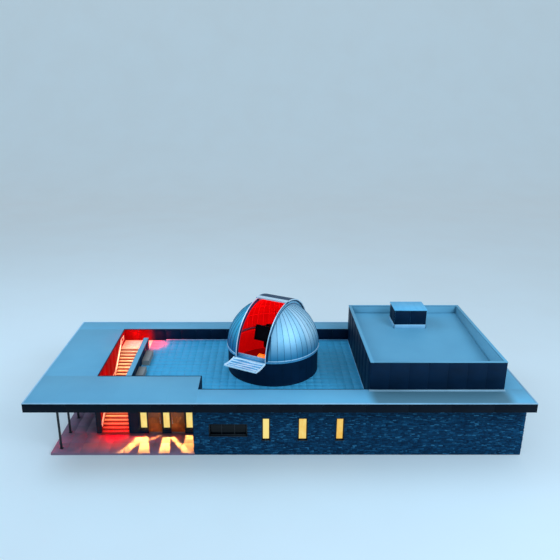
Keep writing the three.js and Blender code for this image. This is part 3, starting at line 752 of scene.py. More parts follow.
# Painted red light: the dome room's floor is dark red with a red glow
RED_GLOW_RUBBER_FLOOR = Mottled(
    "ribbed_rubber_floor", "pavers", "#6a1014", "#520a0e", 400, 8, 0.3, (0.6, 0.75),
    specular=0.1, glow="#ff0408", glow_strength=0.12,
)
PALE_TRIM = Mottled(
    "pale_edge_metal", "steel", "#bcdcec", "#a3c7da", 900, 20, 0.05, (0.35, 0.5), metallic=0.2
)
# Painted shade: a greyer, darker copy of the pale edge metal for the flashing at the hall's foot
SHADED_FLASHING = Mottled(
    "pale_wall_flashing", "steel", "#b6c8ce", "#a2b6be", 900, 20, 0.05, (0.45, 0.6)
)
HATCH_LID = Mottled("bright_hatch_lid", "steel", "#82cde8", "#72c0de", 900, 20, 0.05, (0.45, 0.6))
LIT_GLASS = LitPane("lit_window_glass", "lit_glass")
DARK_GLASS = Mottled(
    "unlit_window_glass", "lit_glass", "#030a10", "#010508", 900, 300, 0.02, (0.12, 0.18),
    specular=0.2,
)
TIMBER = StainedTimber("stained_oak_door", "door_wood")
POWDER_COAT = Mottled(
    "black_powder_coat", "black_metal", "#14171c", "#0a0c10", 300, 4, 0.2, (0.42, 0.55)
)
FLAT_BLACK = Mottled(
    "flat_black_tube_paint", "black_metal", "#0a0810", "#050409", 300, 4, 0.15, (0.7, 0.85),
    specular=0.1,
)
BRUSHED = Mottled(
    "brushed_steel", "steel", "#c9cdd0", "#9da3a8", (400, 400, 20), 3, 0.15, (0.26, 0.38),
    metallic=1.0,
)
LIT_RAIL = Mottled(
    "handrail_paint_in_light", "steel", "#ffd8c4", "#f4c4ac", 400, 6, 0.05, (0.35, 0.5),
    glow="#ff9c70", glow_strength=0.6,
)
RAIL_LED = Mottled(
    "handrail_light_diffuser", "lit_glass", "#ffd9c8", "#ffc8b0", 100, 10, 0.0, (0.3, 0.4),
    glow="#ffb490", glow_strength=4.0,
)
AMBER_LAMP = Mottled(
    "amber_lamp_glass", "lit_glass", "#ff9a30", "#ff7a18", 200, 20, 0.0, (0.3, 0.4),
    glow="#ff5a08", glow_strength=1.3,
)
BACKDROP = Mottled(
    "pale_backdrop", "concrete", "#fbeee6", "#f8eae1", 9000, 400, 0.0, (0.9, 0.95),
    specular=0.1, glow="#dfe9ee", glow_strength=0.12,
)


def place(
    name: str,
    build: Build,
    finish: Finish,
    body: str = "building",
    replaces: Sequence[str] = (),
    smooth: float = 0.0,
) -> bpy.types.Object:
    """Makes a gathered mesh a piece of the model and reports it.

    Args:
        name: The piece's name.
        build: Its surfaces.
        finish: Its finish.
        body: The body that it moves with.
        replaces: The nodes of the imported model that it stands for.
        smooth: The largest angle in degrees across which it is shaded smoothly, or 0 for flat.

    Returns:
        The new object.
    """
    points = np.concatenate(build.points)
    counts = np.concatenate([np.full(len(f), f.shape[1]) for f in build.faces])
    corners = np.concatenate([f.ravel() for f in build.faces]).astype(np.int32)
    starts = np.concatenate([[0], np.cumsum(counts)[:-1]]).astype(np.int32)
    tones = np.concatenate(build.tones).astype(np.float32)
    mesh = bpy.data.meshes.new(name)
    mesh.vertices.add(len(points))
    mesh.vertices.foreach_set("co", points.astype(np.float32).ravel())
    mesh.loops.add(len(corners))
    mesh.loops.foreach_set("vertex_index", corners)
    mesh.polygons.add(len(counts))
    mesh.polygons.foreach_set("loop_start", starts)
    mesh.update(calc_edges=True)
    mesh.attributes.new("tone", "FLOAT", "POINT").data.foreach_set("value", tones)
    if smooth:
        mesh.shade_smooth()
        mesh.set_sharp_from_angle(angle=math.radians(smooth))
    piece = bpy.data.objects.new(name, mesh)
    bpy.context.scene.collection.objects.link(piece)
    mesh.materials.append(finish.material())
    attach(piece, body)
    if replaces:
        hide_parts(*replaces)
    log.info("%s: %d faces in %s, on %s", name, len(counts), finish.name, body)
    return piece


def dress(finish: Finish, *nodes: str) -> None:
    """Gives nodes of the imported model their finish.

    Args:
        finish: The finish.
        nodes: The nodes' names.
    """
    for name in nodes:
        slots = frame["nodes"][name].data.materials
        slots.clear()
        slots.append(finish.material())
        log.info("%s: kept, in %s", name, finish.name)


def ring(profile: Sequence[Pair], turn: np.ndarray) -> np.ndarray:
    """Carries a profile of radius and level round the upright axis, one section to an angle.

    Args:
        profile: The section's points, each a radius and a level.
        turn: The angles.

    Returns:
        The points, one row to an angle.
    """
    shape, turn = np.array(profile), np.asarray(turn)[:, None]
    level = np.broadcast_to(shape[:, 1], (len(turn), len(shape)))
    return np.stack([shape[:, 0] * np.cos(turn), shape[:, 0] * np.sin(turn), level], axis=-1)


def prism(outline: Sequence[Pair], ends: Pair) -> np.ndarray:
    """Carries an outline of x and z along Y between two ends."""
    return np.array([[(x, y, z) for x, z in outline] for y in ends])


@dataclass
class DomeShape:
    """What the dome's pieces share: where it stands, how it is turned, and its main radii."""

    centre: np.ndarray = field(default_factory=lambda: np.array(joint("dome_turn")["pos_m"]))
    skin: float = 3.73
    skin_inner: float = 3.67
    ring_top: float = 0.0703
    half_slit: float = 1.26
    rail_outer: float = 1.32
    rail_radii: Pair = (3.42, 3.80)
    gores: int = 44
    rows: int = 30
    slit_end: float = math.radians(102)

    def out(self, points: np.ndarray) -> np.ndarray:
        """Turns points from the dome's frame, with +X along the slit, into the building's.

        Args:
            points: Points in the dome's frame.

        Returns:
            The same points in the building's frame.
        """
        axis = joint("shutter_slide")["axis"]
        turn = math.atan2(axis[1], axis[0]) - math.pi / 2
        cos, sin = math.cos(turn), math.sin(turn)
        x, y, z = np.moveaxis(np.asarray(points, float), -1, 0)
        return np.stack([x * cos - y * sin, x * sin + y * cos, z], axis=-1) + self.centre

    def facet(self, azimuth: np.ndarray) -> np.ndarray:
        """How much nearer than its seams a flat gore lies: cos(half) / cos(offset)."""
        half = math.pi / self.gores
        return math.cos(half) / np.cos(np.mod(azimuth, 2 * half) - half)

    def low(self, radius: float, azimuth: np.ndarray) -> np.ndarray:
        """Height angle where the ring's top cuts the sphere."""
        return np.full(np.shape(azimuth), math.asin(self.ring_top / radius))

    def cut_height(self, radius: float, azimuth: np.ndarray, half: float) -> np.ndarray:
        """Height angle where an upright plane, half away from the slit's middle, cuts a gore."""
        # A gore's point is radius * facet * cos(height) * sin(azimuth) away from the middle
        reach = radius * self.facet(azimuth) * np.abs(np.sin(azimuth))
        return np.arccos(np.clip(half / reach, 0, 1))

    def sheet(self, radius: float, azimuth: np.ndarray, low: Edge, high: Edge) -> np.ndarray:
        """Grid on the gored sphere, one column of points up each azimuth.

        A point is at radius * facet * cos(height) from the upright axis and radius *
        sin(height) above the ring.

        Args:
            radius: The sphere's radius.
            azimuth: The columns' azimuths.
            low: Gives the lowest height angles.
            high: Gives the highest.

        Returns:
            The points in the building's frame, as columns, rows, 3.
        """
        bottom = low(radius, azimuth)
        top = np.maximum(high(radius, azimuth), bottom)
        height = bottom[:, None] + (top - bottom)[:, None] * np.linspace(0, 1, self.rows)
        flat = radius * self.facet(azimuth)[:, None] * np.cos(height)
        turn = azimuth[:, None]
        level = radius * np.sin(height)
        return self.out(np.stack([flat * np.cos(turn), flat * np.sin(turn), level], axis=-1))

    def arch(self, profile: Sequence[Pair], angles: np.ndarray) -> np.ndarray:
        """Carries a profile of radius and offset round the level axis, down to the ring's top.

        Args:
            profile: The section's points, each a radius and an offset from the slit's middle.
            angles: The height angles to pass.

        Returns:
            The points, one row to an angle.
        """
        shape = np.array(profile)
        turn = angles[:, None]
        offset = np.broadcast_to(shape[:, 1], (len(angles), len(shape)))
        level = np.maximum(shape[:, 0] * np.sin(turn), self.ring_top)
        return np.stack([shape[:, 0] * np.cos(turn), offset, level], axis=-1)

    def over(
        self, build: Build, profile: Sequence[Pair], angles: np.ndarray, tone: float = 0.5
    ) -> None:
        """Adds a profile carried over the dome to a mesh."""
        build.carry(self.out(self.arch(profile, angles)), tone=tone)


@dataclass
class Dome:
    """The turning dome: gored skin with standing seams, red lit lining, arch rails and trim."""

    shape: DomeShape = field(default_factory=DomeShape)
    clearance: float = 0.0003
    seam: Pair = (0.024, 0.018)
    seam_root: float = 0.004
    rib: Pair = (0.035, 0.05)
    hoop: float = 0.025
    hoops_deg: tuple[float, ...] = (20, 36, 52)
    lining_gap: float = 0.006
    lining_thick: float = 0.008
    rail_web: float = 0.014
    rail_step_deg: float = 3.0
    seal_proud: float = 0.006
    open_deg: Pair = (5.4, 89.0)
    drip: tuple[Pair, ...] = (
        (3.722, 0.068), (3.758, 0.068), (3.758, 0.078),
        (3.741, 0.082), (3.741, 0.125), (3.722, 0.125),
    )
    bolts: int = 72
    bolt_at: Pair = (3.755, -0.05)
    bolt_size: Pair = (0.014, 0.012)
    header: Pair = (3.60, 3.74)
    header_half: float = 1.259
    lamp_box: tuple[Pair, ...] = ((3.16, 0.09), (3.44, 0.09), (3.44, 0.38), (3.16, 0.44))
    lamp_y: Pair = (0.42, 1.18)
    sill: float = 3.52
    sill_half: float = 1.255
    # Lower edge, upper edge and reach of each band on the sill
    bands: tuple[Spot, ...] = ((0.075, 0.10, 0.008), (0.17, 0.20, 0.010), (0.262, 0.302, 0.014))

    def build(self) -> None:
        """Builds and dresses every piece of the dome."""
        shape = self.shape
        rng = np.random.default_rng(SEED)
        cut = shape.rail_outer + self.clearance
        start = math.asin(cut / (shape.skin * math.cos(0.03))) + 0.004
        sides = {"right": (start, math.pi - start), "left": (start - math.pi, -start)}
        for name, ends in sides.items():
            self.cover(name, ends, shape.low, lambda r, a: shape.cut_height(r, a, cut), rng)
        # Behind the slit a gore starts where its offset falls under half the slit, and ends at
        # the plane through the level axis, where tan(height) = cos(azimuth) * tan(slit_end)
        half = shape.half_slit - self.clearance
        x = math.sqrt(shape.skin**2 - half**2) * math.cos(shape.slit_end)
        first = math.atan2(half, x) + 0.01
        self.cover(
            "back",
            (first, FULL_TURN - first),
            lambda r, a: np.maximum(shape.low(r, a), shape.cut_height(r, a, half)),
            lambda r, a: np.arctan(np.cos(a) * math.tan(shape.slit_end)),
            rng,
        )
        for name, sign in (("right", 1), ("left", -1)):
            self.rail(name, sign)
        self.trim()
        self.sill_pieces()

    def cover(
        self, name: str, ends: Pair, low: Edge, high: Edge, rng: np.random.Generator
    ) -> None:
        """Builds one part of the skin with its seams, and the lining with its ribs.

        Args:
            name: left, right or back.
            ends: The first and the last azimuth.
            low: Gives the lowest height angles.
            high: Gives the highest.
            rng: Draws each gore's tone.
        """
        shape = self.shape
        step = math.pi / shape.gores
        first, last = math.ceil(ends[0] / step + 0.01), math.floor(ends[1] / step - 0.01)
        azimuth = np.concatenate([[ends[0]], np.arange(first, last + 1) * step, [ends[1]]])
        tone = np.repeat(rng.uniform(0.1, 0.9, (len(azimuth) + 1) // 2), 2)[: len(azimuth)]
        face = shape.skin_inner - self.lining_gap
        back = face - self.lining_thick
        skin, lining, strips, ribs = Build(), Build(), Build(), Build()
        sheets = [shape.sheet(r, azimuth, low, high) for r in (shape.skin, shape.skin_inner)]
        skin.shell(*sheets, np.repeat(tone, shape.rows))
        lining.shell(*(shape.sheet(r, azimuth, low, high) for r in (face, back)))
        offset = np.mod(azimuth, 2 * step)
        seams = azimuth[np.minimum(offset, 2 * step - offset) < 1e-5]
        wide, tall = self.seam
        root = -self.seam_root
        folded = [(-wide / 2, root), (wide / 2, root), (wide / 3, tall), (-wide / 3, tall)]
        wide, deep = self.rib
        square = [(-wide / 2, 0.002), (wide / 2, 0.002), (wide / 2, -deep), (-wide / 2, -deep)]
        # Each run's mesh, radius and profile, by how much it stops short, and its least length
        runs = ((strips, shape.skin, folded, 0.006, 0.05), (ribs, back, square, 0.02, 0.1))
        for build, radius, profile, short, least in runs:
            across, rise = np.array(profile).T[:, :, None]
            for turn in seams:
                bottom, top = (float(edge(radius, np.array([turn]))[0]) for edge in (low, high))
                if top - bottom > least:
                    height = np.linspace(bottom, top - short, shape.rows)[:, None, None]
                    flat = np.cos(height)
                    heading = [flat * math.cos(turn), flat * math.sin(turn), np.sin(height)]
                    outward = np.concatenate(heading, axis=-1) * (radius + rise)
                    beside = np.array([-math.sin(turn), math.cos(turn), 0.0])
                    build.carry(shape.out(outward + beside * across))
        radial = back - 0.004 - self.hoop * np.array([0, 0, 1, 1])
        lift = self.hoop * np.array([-1, 1, 1, -1]) / 2
        for height in np.radians(self.hoops_deg):
            inside = seams[(low(back, seams) < height) & (high(back, seams) - 0.02 > height)]
            if len(inside) > 1:
                flat = radial * math.cos(height) - lift * math.sin(height)
                level = radial * math.sin(height) + lift * math.cos(height)
                count = max(3, int((inside[-1] - inside[0]) * shape.gores / math.pi) + 1)
                turn = np.linspace(inside[0], inside[-1], count)
                ribs.carry(shape.out(ring(np.stack([flat, level], axis=1), turn)))
        # Painted shade: the left cover takes the darker copy of the dome's sheet
        finish = DOME_SHEET_SHADED_LEFT if name == "left" else DOME_SHEET
        place(f"dome_cover_{name}", skin, finish, "dome", [f"dome_skin_{name}"], smooth=6)
        # The seams' dark finish is painted shade
        place(f"dome_seams_{name}", strips, SEAM_SHADE, "dome", smooth=20)
        place(f"dome_lining_{name}", lining, RED_LINING, "dome", smooth=6)
        place(f"dome_ribs_{name}", ribs, RED_RIB, "dome")

    def rail(self, name: str, sign: int) -> None:
        """Builds one arch rail: a channel open away from the slit, its seals, lining and cap.

        Args:
            name: right or left.
            sign: 1 for the right rail, -1 for the left one.
        """
        shape, web = self.shape, self.rail_web
        inner, outer = shape.rail_radii
        whole = np.radians(np.arange(0, 181, self.rail_step_deg))
        opening = np.radians(np.linspace(*self.open_deg, 40))
        behind = np.linspace(shape.slit_end, math.pi, 30)
        near, far = sign * shape.half_slit, sign * shape.rail_outer
        proud = sign * self.seal_proud
        back = near + sign * web
        on_slit = (near - proud, near + sign * 0.002)

        channel = [
            (inner, near), (outer, near), (outer, far), (outer - web, far),
            (outer - web, back), (inner + web, back), (inner + web, far), (inner, far),
        ]
        on_far = (far - sign * 0.001, far + proud)
        seals = [
            box(outer - 0.10, outer - 0.045, *on_far), box(inner + 0.07, inner + 0.11, *on_far)
        ]
        line = box(inner + 0.05, outer - 0.05, *on_slit)
        low, edge, under, over = inner - 0.012, outer - 0.05, outer - 0.003, outer + 0.003
        foot = box(low, inner + 0.05, *on_slit)
        wrap = box(low, inner + 0.068, near - proud, far + proud)
        cap = [
            (edge, near - proud), (over, near - proud), (over, far),
            (under, far), (under, near), (edge, near),
        ]
        for piece, finish, runs in (
            ("slit_rail", RAIL_SHEET, [(channel, whole)]),
            ("slit_rail_seal", RAIL_PAINT, [(seal, whole) for seal in seals]),
            ("slit_rail_line", RAIL_PAINT, [(line, opening)]),
            ("slit_rail_lining", RED_LINING, [(foot, opening), (wrap, behind)]),
            ("slit_rail_cap", DOME_TRIM, [(cap, whole)]),
        ):
            build = Build()
            for profile, angles in runs:
                shape.over(build, profile, angles)
            node = [f"arch_rail_{name}"] if piece == "slit_rail" else ()
            place(f"{piece}_{name}", build, finish, "dome", node, smooth=20)

    def trim(self) -> None:
        """Builds the drip bead and bolts of the base ring."""
        shape = self.shape
        trim = Build()
        edge = math.asin(shape.rail_outer / shape.skin) + 0.01
        trim.carry(shape.out(ring(self.drip, np.linspace(edge, FULL_TURN - edge, 120))))
        reach, level = self.bolt_at
        radius, proud = self.bolt_size
        for angle in np.linspace(0, FULL_TURN, self.bolts, endpoint=False):
            heading = np.array([math.cos(angle), math.sin(angle), 0])
            start = heading * reach + np.array([0, 0, level])
            trim.bar(*shape.out(np.stack([start, start + heading * proud])), radius, 6)
        place("dome_ring_trim", trim, DOME_TRIM, "dome", smooth=20)

    def sill_pieces(self) -> None:
        """Builds the slit's header, and the lamp box and the bands at its sill."""
        shape = self.shape
        header, lamp, bands = Build(), Build(), Build()
        profile = box(*self.header, -self.header_half, self.header_half)
        shape.over(header, profile, shape.slit_end + np.array([-0.012, 0.0]))
        place("slit_header", header, DOME_TRIM, "dome")
        # The box's amber glow is painted light, standing for an orange lit patch just above the
        # sill
        lamp.carry(shape.out(prism(self.lamp_box, self.lamp_y)))
        place("sill_lamp_box", lamp, AMBER_LAMP, "dome")
        for low, high, out in self.bands:
            outline = box(self.sill - 0.001, self.sill + out, low, high)
            bands.carry(shape.out(prism(outline, (-self.sill_half, self.sill_half))))
        place("slit_sill_bands", bands, DOOR_RIB, "dome")
        dress(DOOR_SHEET, "dome_base_ring", "slit_sill")


@dataclass
class SlitCovers:
    """The upper shutter parked over the back and the lower door hung open at the ring."""

    shape: DomeShape = field(default_factory=DomeShape)
    outer: float = 3.879
    sheet: float = 0.012
    seam: float = 0.012
    half: float = 1.37
    flange_low: float = 3.72
    shutter_deg: Pair = (85, 164)
    shutter_bays: int = 12
    steps: int = 54
    lip: float = 0.46
    bead: float = 0.08
    wheel: float = 0.028
    wheel_y: Pair = (1.27, 1.31)
    end_bar_low: float = 3.78
    door_deg: Pair = (1.3, 24)
    door_ribs: int = 5
    door_thick: float = 0.004
    door_sunk: float = 0.017
    waves: Pair = (0.011, 0.003)
    door_bar_low: float = 3.76
    rib_radii: Pair = (3.808, 3.85)
    beam_radii: Pair = (3.81, 3.855)
    beams: Spot = (-0.68, 0.0, 0.68)
    hinge: Pair = (3.86, 0.03)
    open_deg: float = 104
    barrel: float = 0.03
    knuckles: int = 9
    knuckle_gap: float = 0.008
    hinge_leaf: Rect = (3.845, 3.875, 0.03, 0.11)

    def build(self) -> None:
        """Builds and dresses the shutter and the lower door."""
        self.shutter()
        self.door()

    def cross_bar(
        self,
        build: Build,
        angle: float,
        radii: Pair,
        half: float,
        wide: float = 0.04,
        turn: Callable[[np.ndarray], np.ndarray] | None = None,
    ) -> None:
        """Adds a bar across the cover at a height angle, between two radii.

        Args:
            build: The mesh to add it to.
            angle: The height angle of its middle.
            radii: Its inner and outer radius.
            half: Half its length.
            wide: Its width along the cover.
            turn: Puts the points in place, or none for the closed cover.
        """
        spread = wide / radii[1] / 2
        ends = np.array([angle - spread, angle + spread])
        points = self.shape.arch(box(*radii, -half, half), ends)
        build.carry((turn or self.shape.out)(points), tone=0.7)

    def shutter(self) -> None:
        """Builds the shutter: a seamed tray on ribs, with end plates and wheels on the rails."""
        start, end = np.radians(self.shutter_deg)
        shape, half, outer = self.shape, self.half, self.outer
        top, path = outer - self.seam, np.linspace(start, end, self.steps)
        joints = np.linspace(start, end, self.shutter_bays + 1)[1:-1]
        cover, lip, frame_work = Build(), Build(), Build()
        thin, foot = self.sheet, self.flange_low
        tray = [
            (foot, -half), (top, -half), (top, half), (foot, half),
            (foot, half - thin), (top - thin, half - thin), (top - thin, thin - half),
            (foot, thin - half),
        ]
        shape.over(cover, tray, path, 0.6)
        for angle in joints:
            self.cross_bar(cover, angle, (top - 0.004, outer), half, 0.02)
        for offset in (-half / 3, half / 3):
            seam = [
                (top - 0.004, offset - 0.009), (outer, offset - 0.006),
                (outer, offset + 0.006), (top - 0.004, offset + 0.009),
            ]
            shape.over(cover, seam, path, 0.7)
        place("shutter_cover", cover, SHUTTER_SHEET, "shutter", ["slit_shutter"], smooth=6)
        front = np.linspace(start, start + self.lip / outer, 6)
        shape.over(lip, box(top, outer, -half, half), front)
        low = top - self.bead
        for sign in (-1, 1):
            near, face, far = (sign * (half + d) for d in (-0.035, 0, 0.004))
            bead = [(low, far), (outer, far), (outer, near), (top, near), (top, face), (low, face)]
            shape.over(lip, bead, np.linspace(start + 0.08, end, 52))
        place("shutter_edge_trim", lip, DOME_TRIM, "shutter", smooth=20)
        rail_top = shape.rail_radii[1]
        for angle in joints:
            self.cross_bar(frame_work, angle, (rail_top + 0.008, top - self.sheet), half - 0.02)
        for angle in (start + 0.006, end - 0.006):
            self.cross_bar(frame_work, angle, (rail_top + 0.004, top), half - 0.001)
            radii = (self.end_bar_low, rail_top + 0.01)
            self.cross_bar(frame_work, angle, radii, shape.half_slit - 0.01)
        for angle in joints[::2]:
            reach = rail_top + self.wheel + 0.002
            centre = np.array([math.cos(angle), 0, math.sin(angle)]) * reach
            for sign in (-1, 1):
                ends = np.stack([centre + np.array([0, sign * y, 0]) for y in self.wheel_y])
                frame_work.bar(*shape.out(ends), self.wheel, 14)
        place("shutter_frame", frame_work, DOME_TRIM, "shutter", smooth=25)

    def opened(self, points: np.ndarray) -> np.ndarray:
        """Turns points of the closed lower door about its hinge until it hangs open.

        Args:
            points: Points of the closed door in the dome's frame.

        Returns:
            Points of the open door in the building's frame.
        """
        angle = math.radians(self.open_deg)
        cos, sin = math.cos(angle), math.sin(angle)
        x, z = points[..., 0] - self.hinge[0], points[..., 2] - self.hinge[1]
        moved = points.copy()
        moved[..., 0] = x * cos + z * sin + self.hinge[0]
        moved[..., 2] = z * cos - x * sin + self.hinge[1]
        return self.shape.out(moved)

    def door(self) -> None:
        """Builds the lower door: a thin, buckled sheet in a frame with ribs and hinge knuckles.

        The sheet's radius swells and sinks by a few millimetres in two crossing waves, as a
        sheet does between its rivets.
        """
        start, end = np.radians(self.door_deg)
        shape, half, slit = self.shape, self.half - self.sheet, self.shape.half_slit
        grid = np.linspace(start, end, 40), np.linspace(-half, half, 60)
        angle, offset = np.meshgrid(*grid, indexing="ij")
        slow = self.waves[0] * np.sin(angle * 62 + 1.4 * np.sin(offset * 2.3))
        fine = self.waves[1] * np.sin(offset * 9 + angle * 21)
        radius = self.outer - self.door_sunk + (slow + fine)
        sheet, beams, frame_work = Build(), Build(), Build()
        sheet.shell(*(
            self.opened(np.stack([r * np.cos(angle), offset, r * np.sin(angle)], axis=-1))
            for r in (radius, radius - self.door_thick)
        ))
        place("lower_door_sheet", sheet, DOOR_SHEET, "drop_door", ["slit_drop_door"], smooth=30)
        path = np.linspace(start, end, 16)
        for sign in (-1, 1):
            rim = box(self.flange_low, self.outer, sign * (self.half - 0.03), sign * self.half)
            frame_work.carry(self.opened(shape.arch(rim, path)), tone=0.8)
        for middle in self.beams:
            beam = box(*self.beam_radii, middle - 0.02, middle + 0.02)
            beams.carry(self.opened(shape.arch(beam, path)), tone=0.8)
        place("lower_door_beams", beams, DOOR_SHEET, "drop_door")
        # Ribs across the door that waver along their length, as they were bent by use: their
        # height angle swings by a slow sine of the offset, with its own start for each rib
        offset = np.linspace(0.03 - self.half, self.half - 0.03, 28)
        low, high = self.rib_radii
        radius = np.broadcast_to([low, high, high, low], (len(offset), 4))
        across = np.broadcast_to(offset[:, None], radius.shape)
        for number, turn in enumerate(np.linspace(start + 0.03, end - 0.03, self.door_ribs)):
            middle = turn + 0.009 * np.sin(offset * 2.6 + number * 1.9)
            half = 0.014 + 0.004 * np.sin(offset * 4.1 + number)
            height = middle[:, None] + half[:, None] * np.array([-1, -1, 1, 1])
            rib = np.stack([radius * np.cos(height), across, radius * np.sin(height)], axis=-1)
            frame_work.carry(self.opened(rib), tone=0.7)
        for turn in (start + 0.006, end - 0.006):
            radii = (self.door_bar_low, self.outer)
            self.cross_bar(frame_work, turn, radii, slit - 0.01, 0.03, self.opened)
        span = slit - 0.004
        x, z = self.hinge
        cuts = np.linspace(-span, span, self.knuckles + 1)
        for left, right in zip(cuts[:-1], cuts[1:]):
            ends = shape.out(np.array([[x, left, z], [x, right - self.knuckle_gap, z]]))
            frame_work.bar(*ends, self.barrel, 14)
        frame_work.carry(self.opened(prism(box(*self.hinge_leaf), (-span, span))))
        place("lower_door_frame", frame_work, DOOR_RIB, "drop_door", smooth=25)


@dataclass
class Drum:
    """The round room under the dome: clad outside, red lit inside, with a dark rubber floor."""

    shape: DomeShape = field(default_factory=DomeShape)
    panels: int = 32
    outer: float = 3.662
    inner: float = 3.478
    joint: float = 0.012
    clad: float = 0.012
    kerb: float = 0.16
    ribs: int = 24
    lining: float = 0.01
    rib_deep: float = 0.05
    rib_turn: float = 0.012
    hole: float = 0.56
    base: float = field(default_factory=lambda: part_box("drum_wall_1")[0].z)
    top: float = 5.9

    def band(
        self,
        build: Build,
        profile: Sequence[Pair],
        turn: np.ndarray | None = None,
        tone: float = 0.5,
        steps: int = 96,
    ) -> None:
        """Adds a profile of radius and level carried round the drum.

        Args:
            build: The mesh to add it to.
            profile: The profile's points.
            turn: The angles it runs through, or none for the whole way round.
            tone: Its tone.
            steps: How many sides the whole way round has.
        """
        closed = turn is None
        angles = np.linspace(0, FULL_TURN * (1 - 1 / steps), steps) if closed else turn
        build.carry(ring(profile, angles) + self.shape.centre * (1, 1, 0), closed, tone)

    def build(self) -> None:
        """Builds and dresses the drum's pieces."""
        outer, inner, base, top = self.outer, self.inner, self.base, self.top
        cladding, lining, strip, floor = Build(), Build(), Build(), Build()
        step, gap = FULL_TURN / self.panels, self.joint / outer
        face = outer + self.clad
        sheet = box(outer, face, base + self.kerb, top)
        for k in range(self.panels):
            turn = np.linspace(k * step + gap, (k + 1) * step - gap, 5)
            self.band(cladding, sheet, turn, (k * 7 % 10) / 10)
        proud = face + 0.02
        kerb = [(outer, base), (proud, base), (proud, base + 0.12), (outer, base + 0.15)]
        self.band(cladding, kerb)
        place("drum_cladding", cladding, COATED_PANEL, smooth=15)
        face = inner - self.lining
        self.band(lining, box(face, inner, base, top))
        for k in range(self.ribs):
            turn = FULL_TURN * k / self.ribs
            rib = box(inner - self.rib_deep, face, base, top)
            self.band(lining, rib, np.array([turn, turn + self.rib_turn]))
        place("drum_lining", lining, RED_LINING, smooth=15)
        self.band(strip, box(inner - 0.07, inner - 0.045, top - 0.09, top - 0.05))
        place("drum_top_ring", strip, RED_RIB)
        self.band(floor, box(self.hole, inner - 0.06, base, base + 0.05), steps=64)
        place("dome_room_floor", floor, RED_GLOW_RUBBER_FLOOR, smooth=15)
        dress(COATED_PANEL, *(f"drum_wall_{k}" for k in range(1, 5)))


@dataclass
class StoneVeneer:
    """Ledgestone laid in courses of random height, with stones of random length and reach."""

    course: Pair = (0.04, 0.1)
    length: Pair = (0.1, 0.38)
    reach: Pair = (0.014, 0.044)
    shortest: float = 0.03
    joint: float = 0.008
    chamfer: float = 0.007
    rough: float = 0.009
    seed: int = SEED

    def cuts(self, rng: np.random.Generator, start: float, end: float, sizes: Pair) -> np.ndarray:
        """Splits a length into parts of random size.

        Args:
            rng: Draws the sizes.
            start: Where the length starts.
            end: Where it ends.
            sizes: The least and the greatest part.

        Returns:
            The parts' edges, from start to end.
        """
        count = max(1, round((end - start) / np.mean(sizes)))
        share = np.cumsum(rng.uniform(*sizes, count))
        return start + (end - start) * np.concatenate([[0], share / share[-1]])

    def lay(
        self, build: Build, side: Side, plane: float, area: Rect, holes: Sequence[Rect]
    ) -> None:
        """Lays stones over an area of wall, round its windows.

        Args:
            build: The mesh to add them to.
            side: Which way the wall looks.
            plane: Where the wall's face lies.
            area: Left, right, bottom and top.
            holes: The same for each window.
        """
        rng = np.random.default_rng(self.seed + len(build.points))
        left, right, bottom, top = area
        levels = sorted({bottom, top, *(v for hole in holes for v in hole[2:] if bottom < v < top)})
        rows = [self.cuts(rng, *pair, self.course) for pair in zip(levels[:-1], levels[1:])]
        rects = []
        for low, high in (pair for edges in rows for pair in zip(edges[:-1], edges[1:])):
            open_x = sorted(hole[:2] for hole in holes if hole[2] < (low + high) / 2 < hole[3])
            starts = [left, *(cut[1] for cut in open_x)]
            for start, end in zip(starts, [*(cut[0] for cut in open_x), right]):
                if end - start < self.shortest:
                    continue
                edges = self.cuts(rng, start, end, self.length)
                level = np.full((2, len(edges) - 1), [[low], [high]])
                rects.append(np.stack([edges[:-1], edges[1:], *level], axis=1))
        stones = np.concatenate(rects) + self.joint / 2 * np.array([1, -1, 1, -1])
        count = len(stones)
        tone = np.clip(rng.beta(1.5, 1.9, count) + (rng.random(count) > 0.92) * 0.3, 0, 1)
        reach = rng.uniform(*self.reach, count)
        tilt = rng.uniform(-self.rough, self.rough, (count, 4))
        build.slabs(side, plane, stones, 0.0, reach, self.chamfer, tone, tilt)


@dataclass
class WindowSet:
    """The windows of one wall: dark frames, bands round the openings, and panes."""

    side: Side
    plane: float
    frames: Build
    recess: float = 0.16
    frame_wide: float = 0.075
    frame_deep: float = 0.09
    pane_thick: float = 0.012
    band_wide: float = 0.03
    band_proud: float = 0.05
    lap: float = 0.012
    rebate: float = 0.008

    def fit(self, panes: Build, rect: Rect, tone: float = 0.5, bars: int = 0) -> None:
        """Adds one window.

        Args:
            panes: The mesh that takes its pane.
            rect: Left, right, bottom and top of its opening.
            tone: The pane's tone.
            bars: How many upright bars divide it.
        """
        left, right, low, high = rect
        w, lap, wide = self.frame_wide, self.lap, self.band_wide
        frame_parts = [
            (left, left + w, low, high), (right - w, right, low, high),
            (left + w, right - w, low, low + w), (left + w, right - w, high - w, high),
        ]
        for k in range(bars):
            middle = left + (right - left) * (k + 1) / (bars + 1)
            frame_parts.append((middle - w / 3, middle + w / 3, low + w, high - w))
        front = -self.recess + self.frame_deep
        self.frames.slabs(self.side, self.plane, frame_parts, -self.recess, front, 0.006)
        band = [
            (left - 0.002, left + lap, low, high), (right - lap, right + 0.002, low, high),
            (left, right, high - lap, high + 0.002),
            (left - wide, right + wide, low - wide, low + lap),
        ]
        self.frames.slabs(self.side, self.plane, band, -self.recess, self.band_proud, 0.004)
        w -= self.rebate
        inner = (left + w, right - w, low + w, high - w)
        back = -self.recess + self.frame_deep / 2
        panes.slabs(self.side, self.plane, [inner], back - self.pane_thick, back, 0.002, tone)


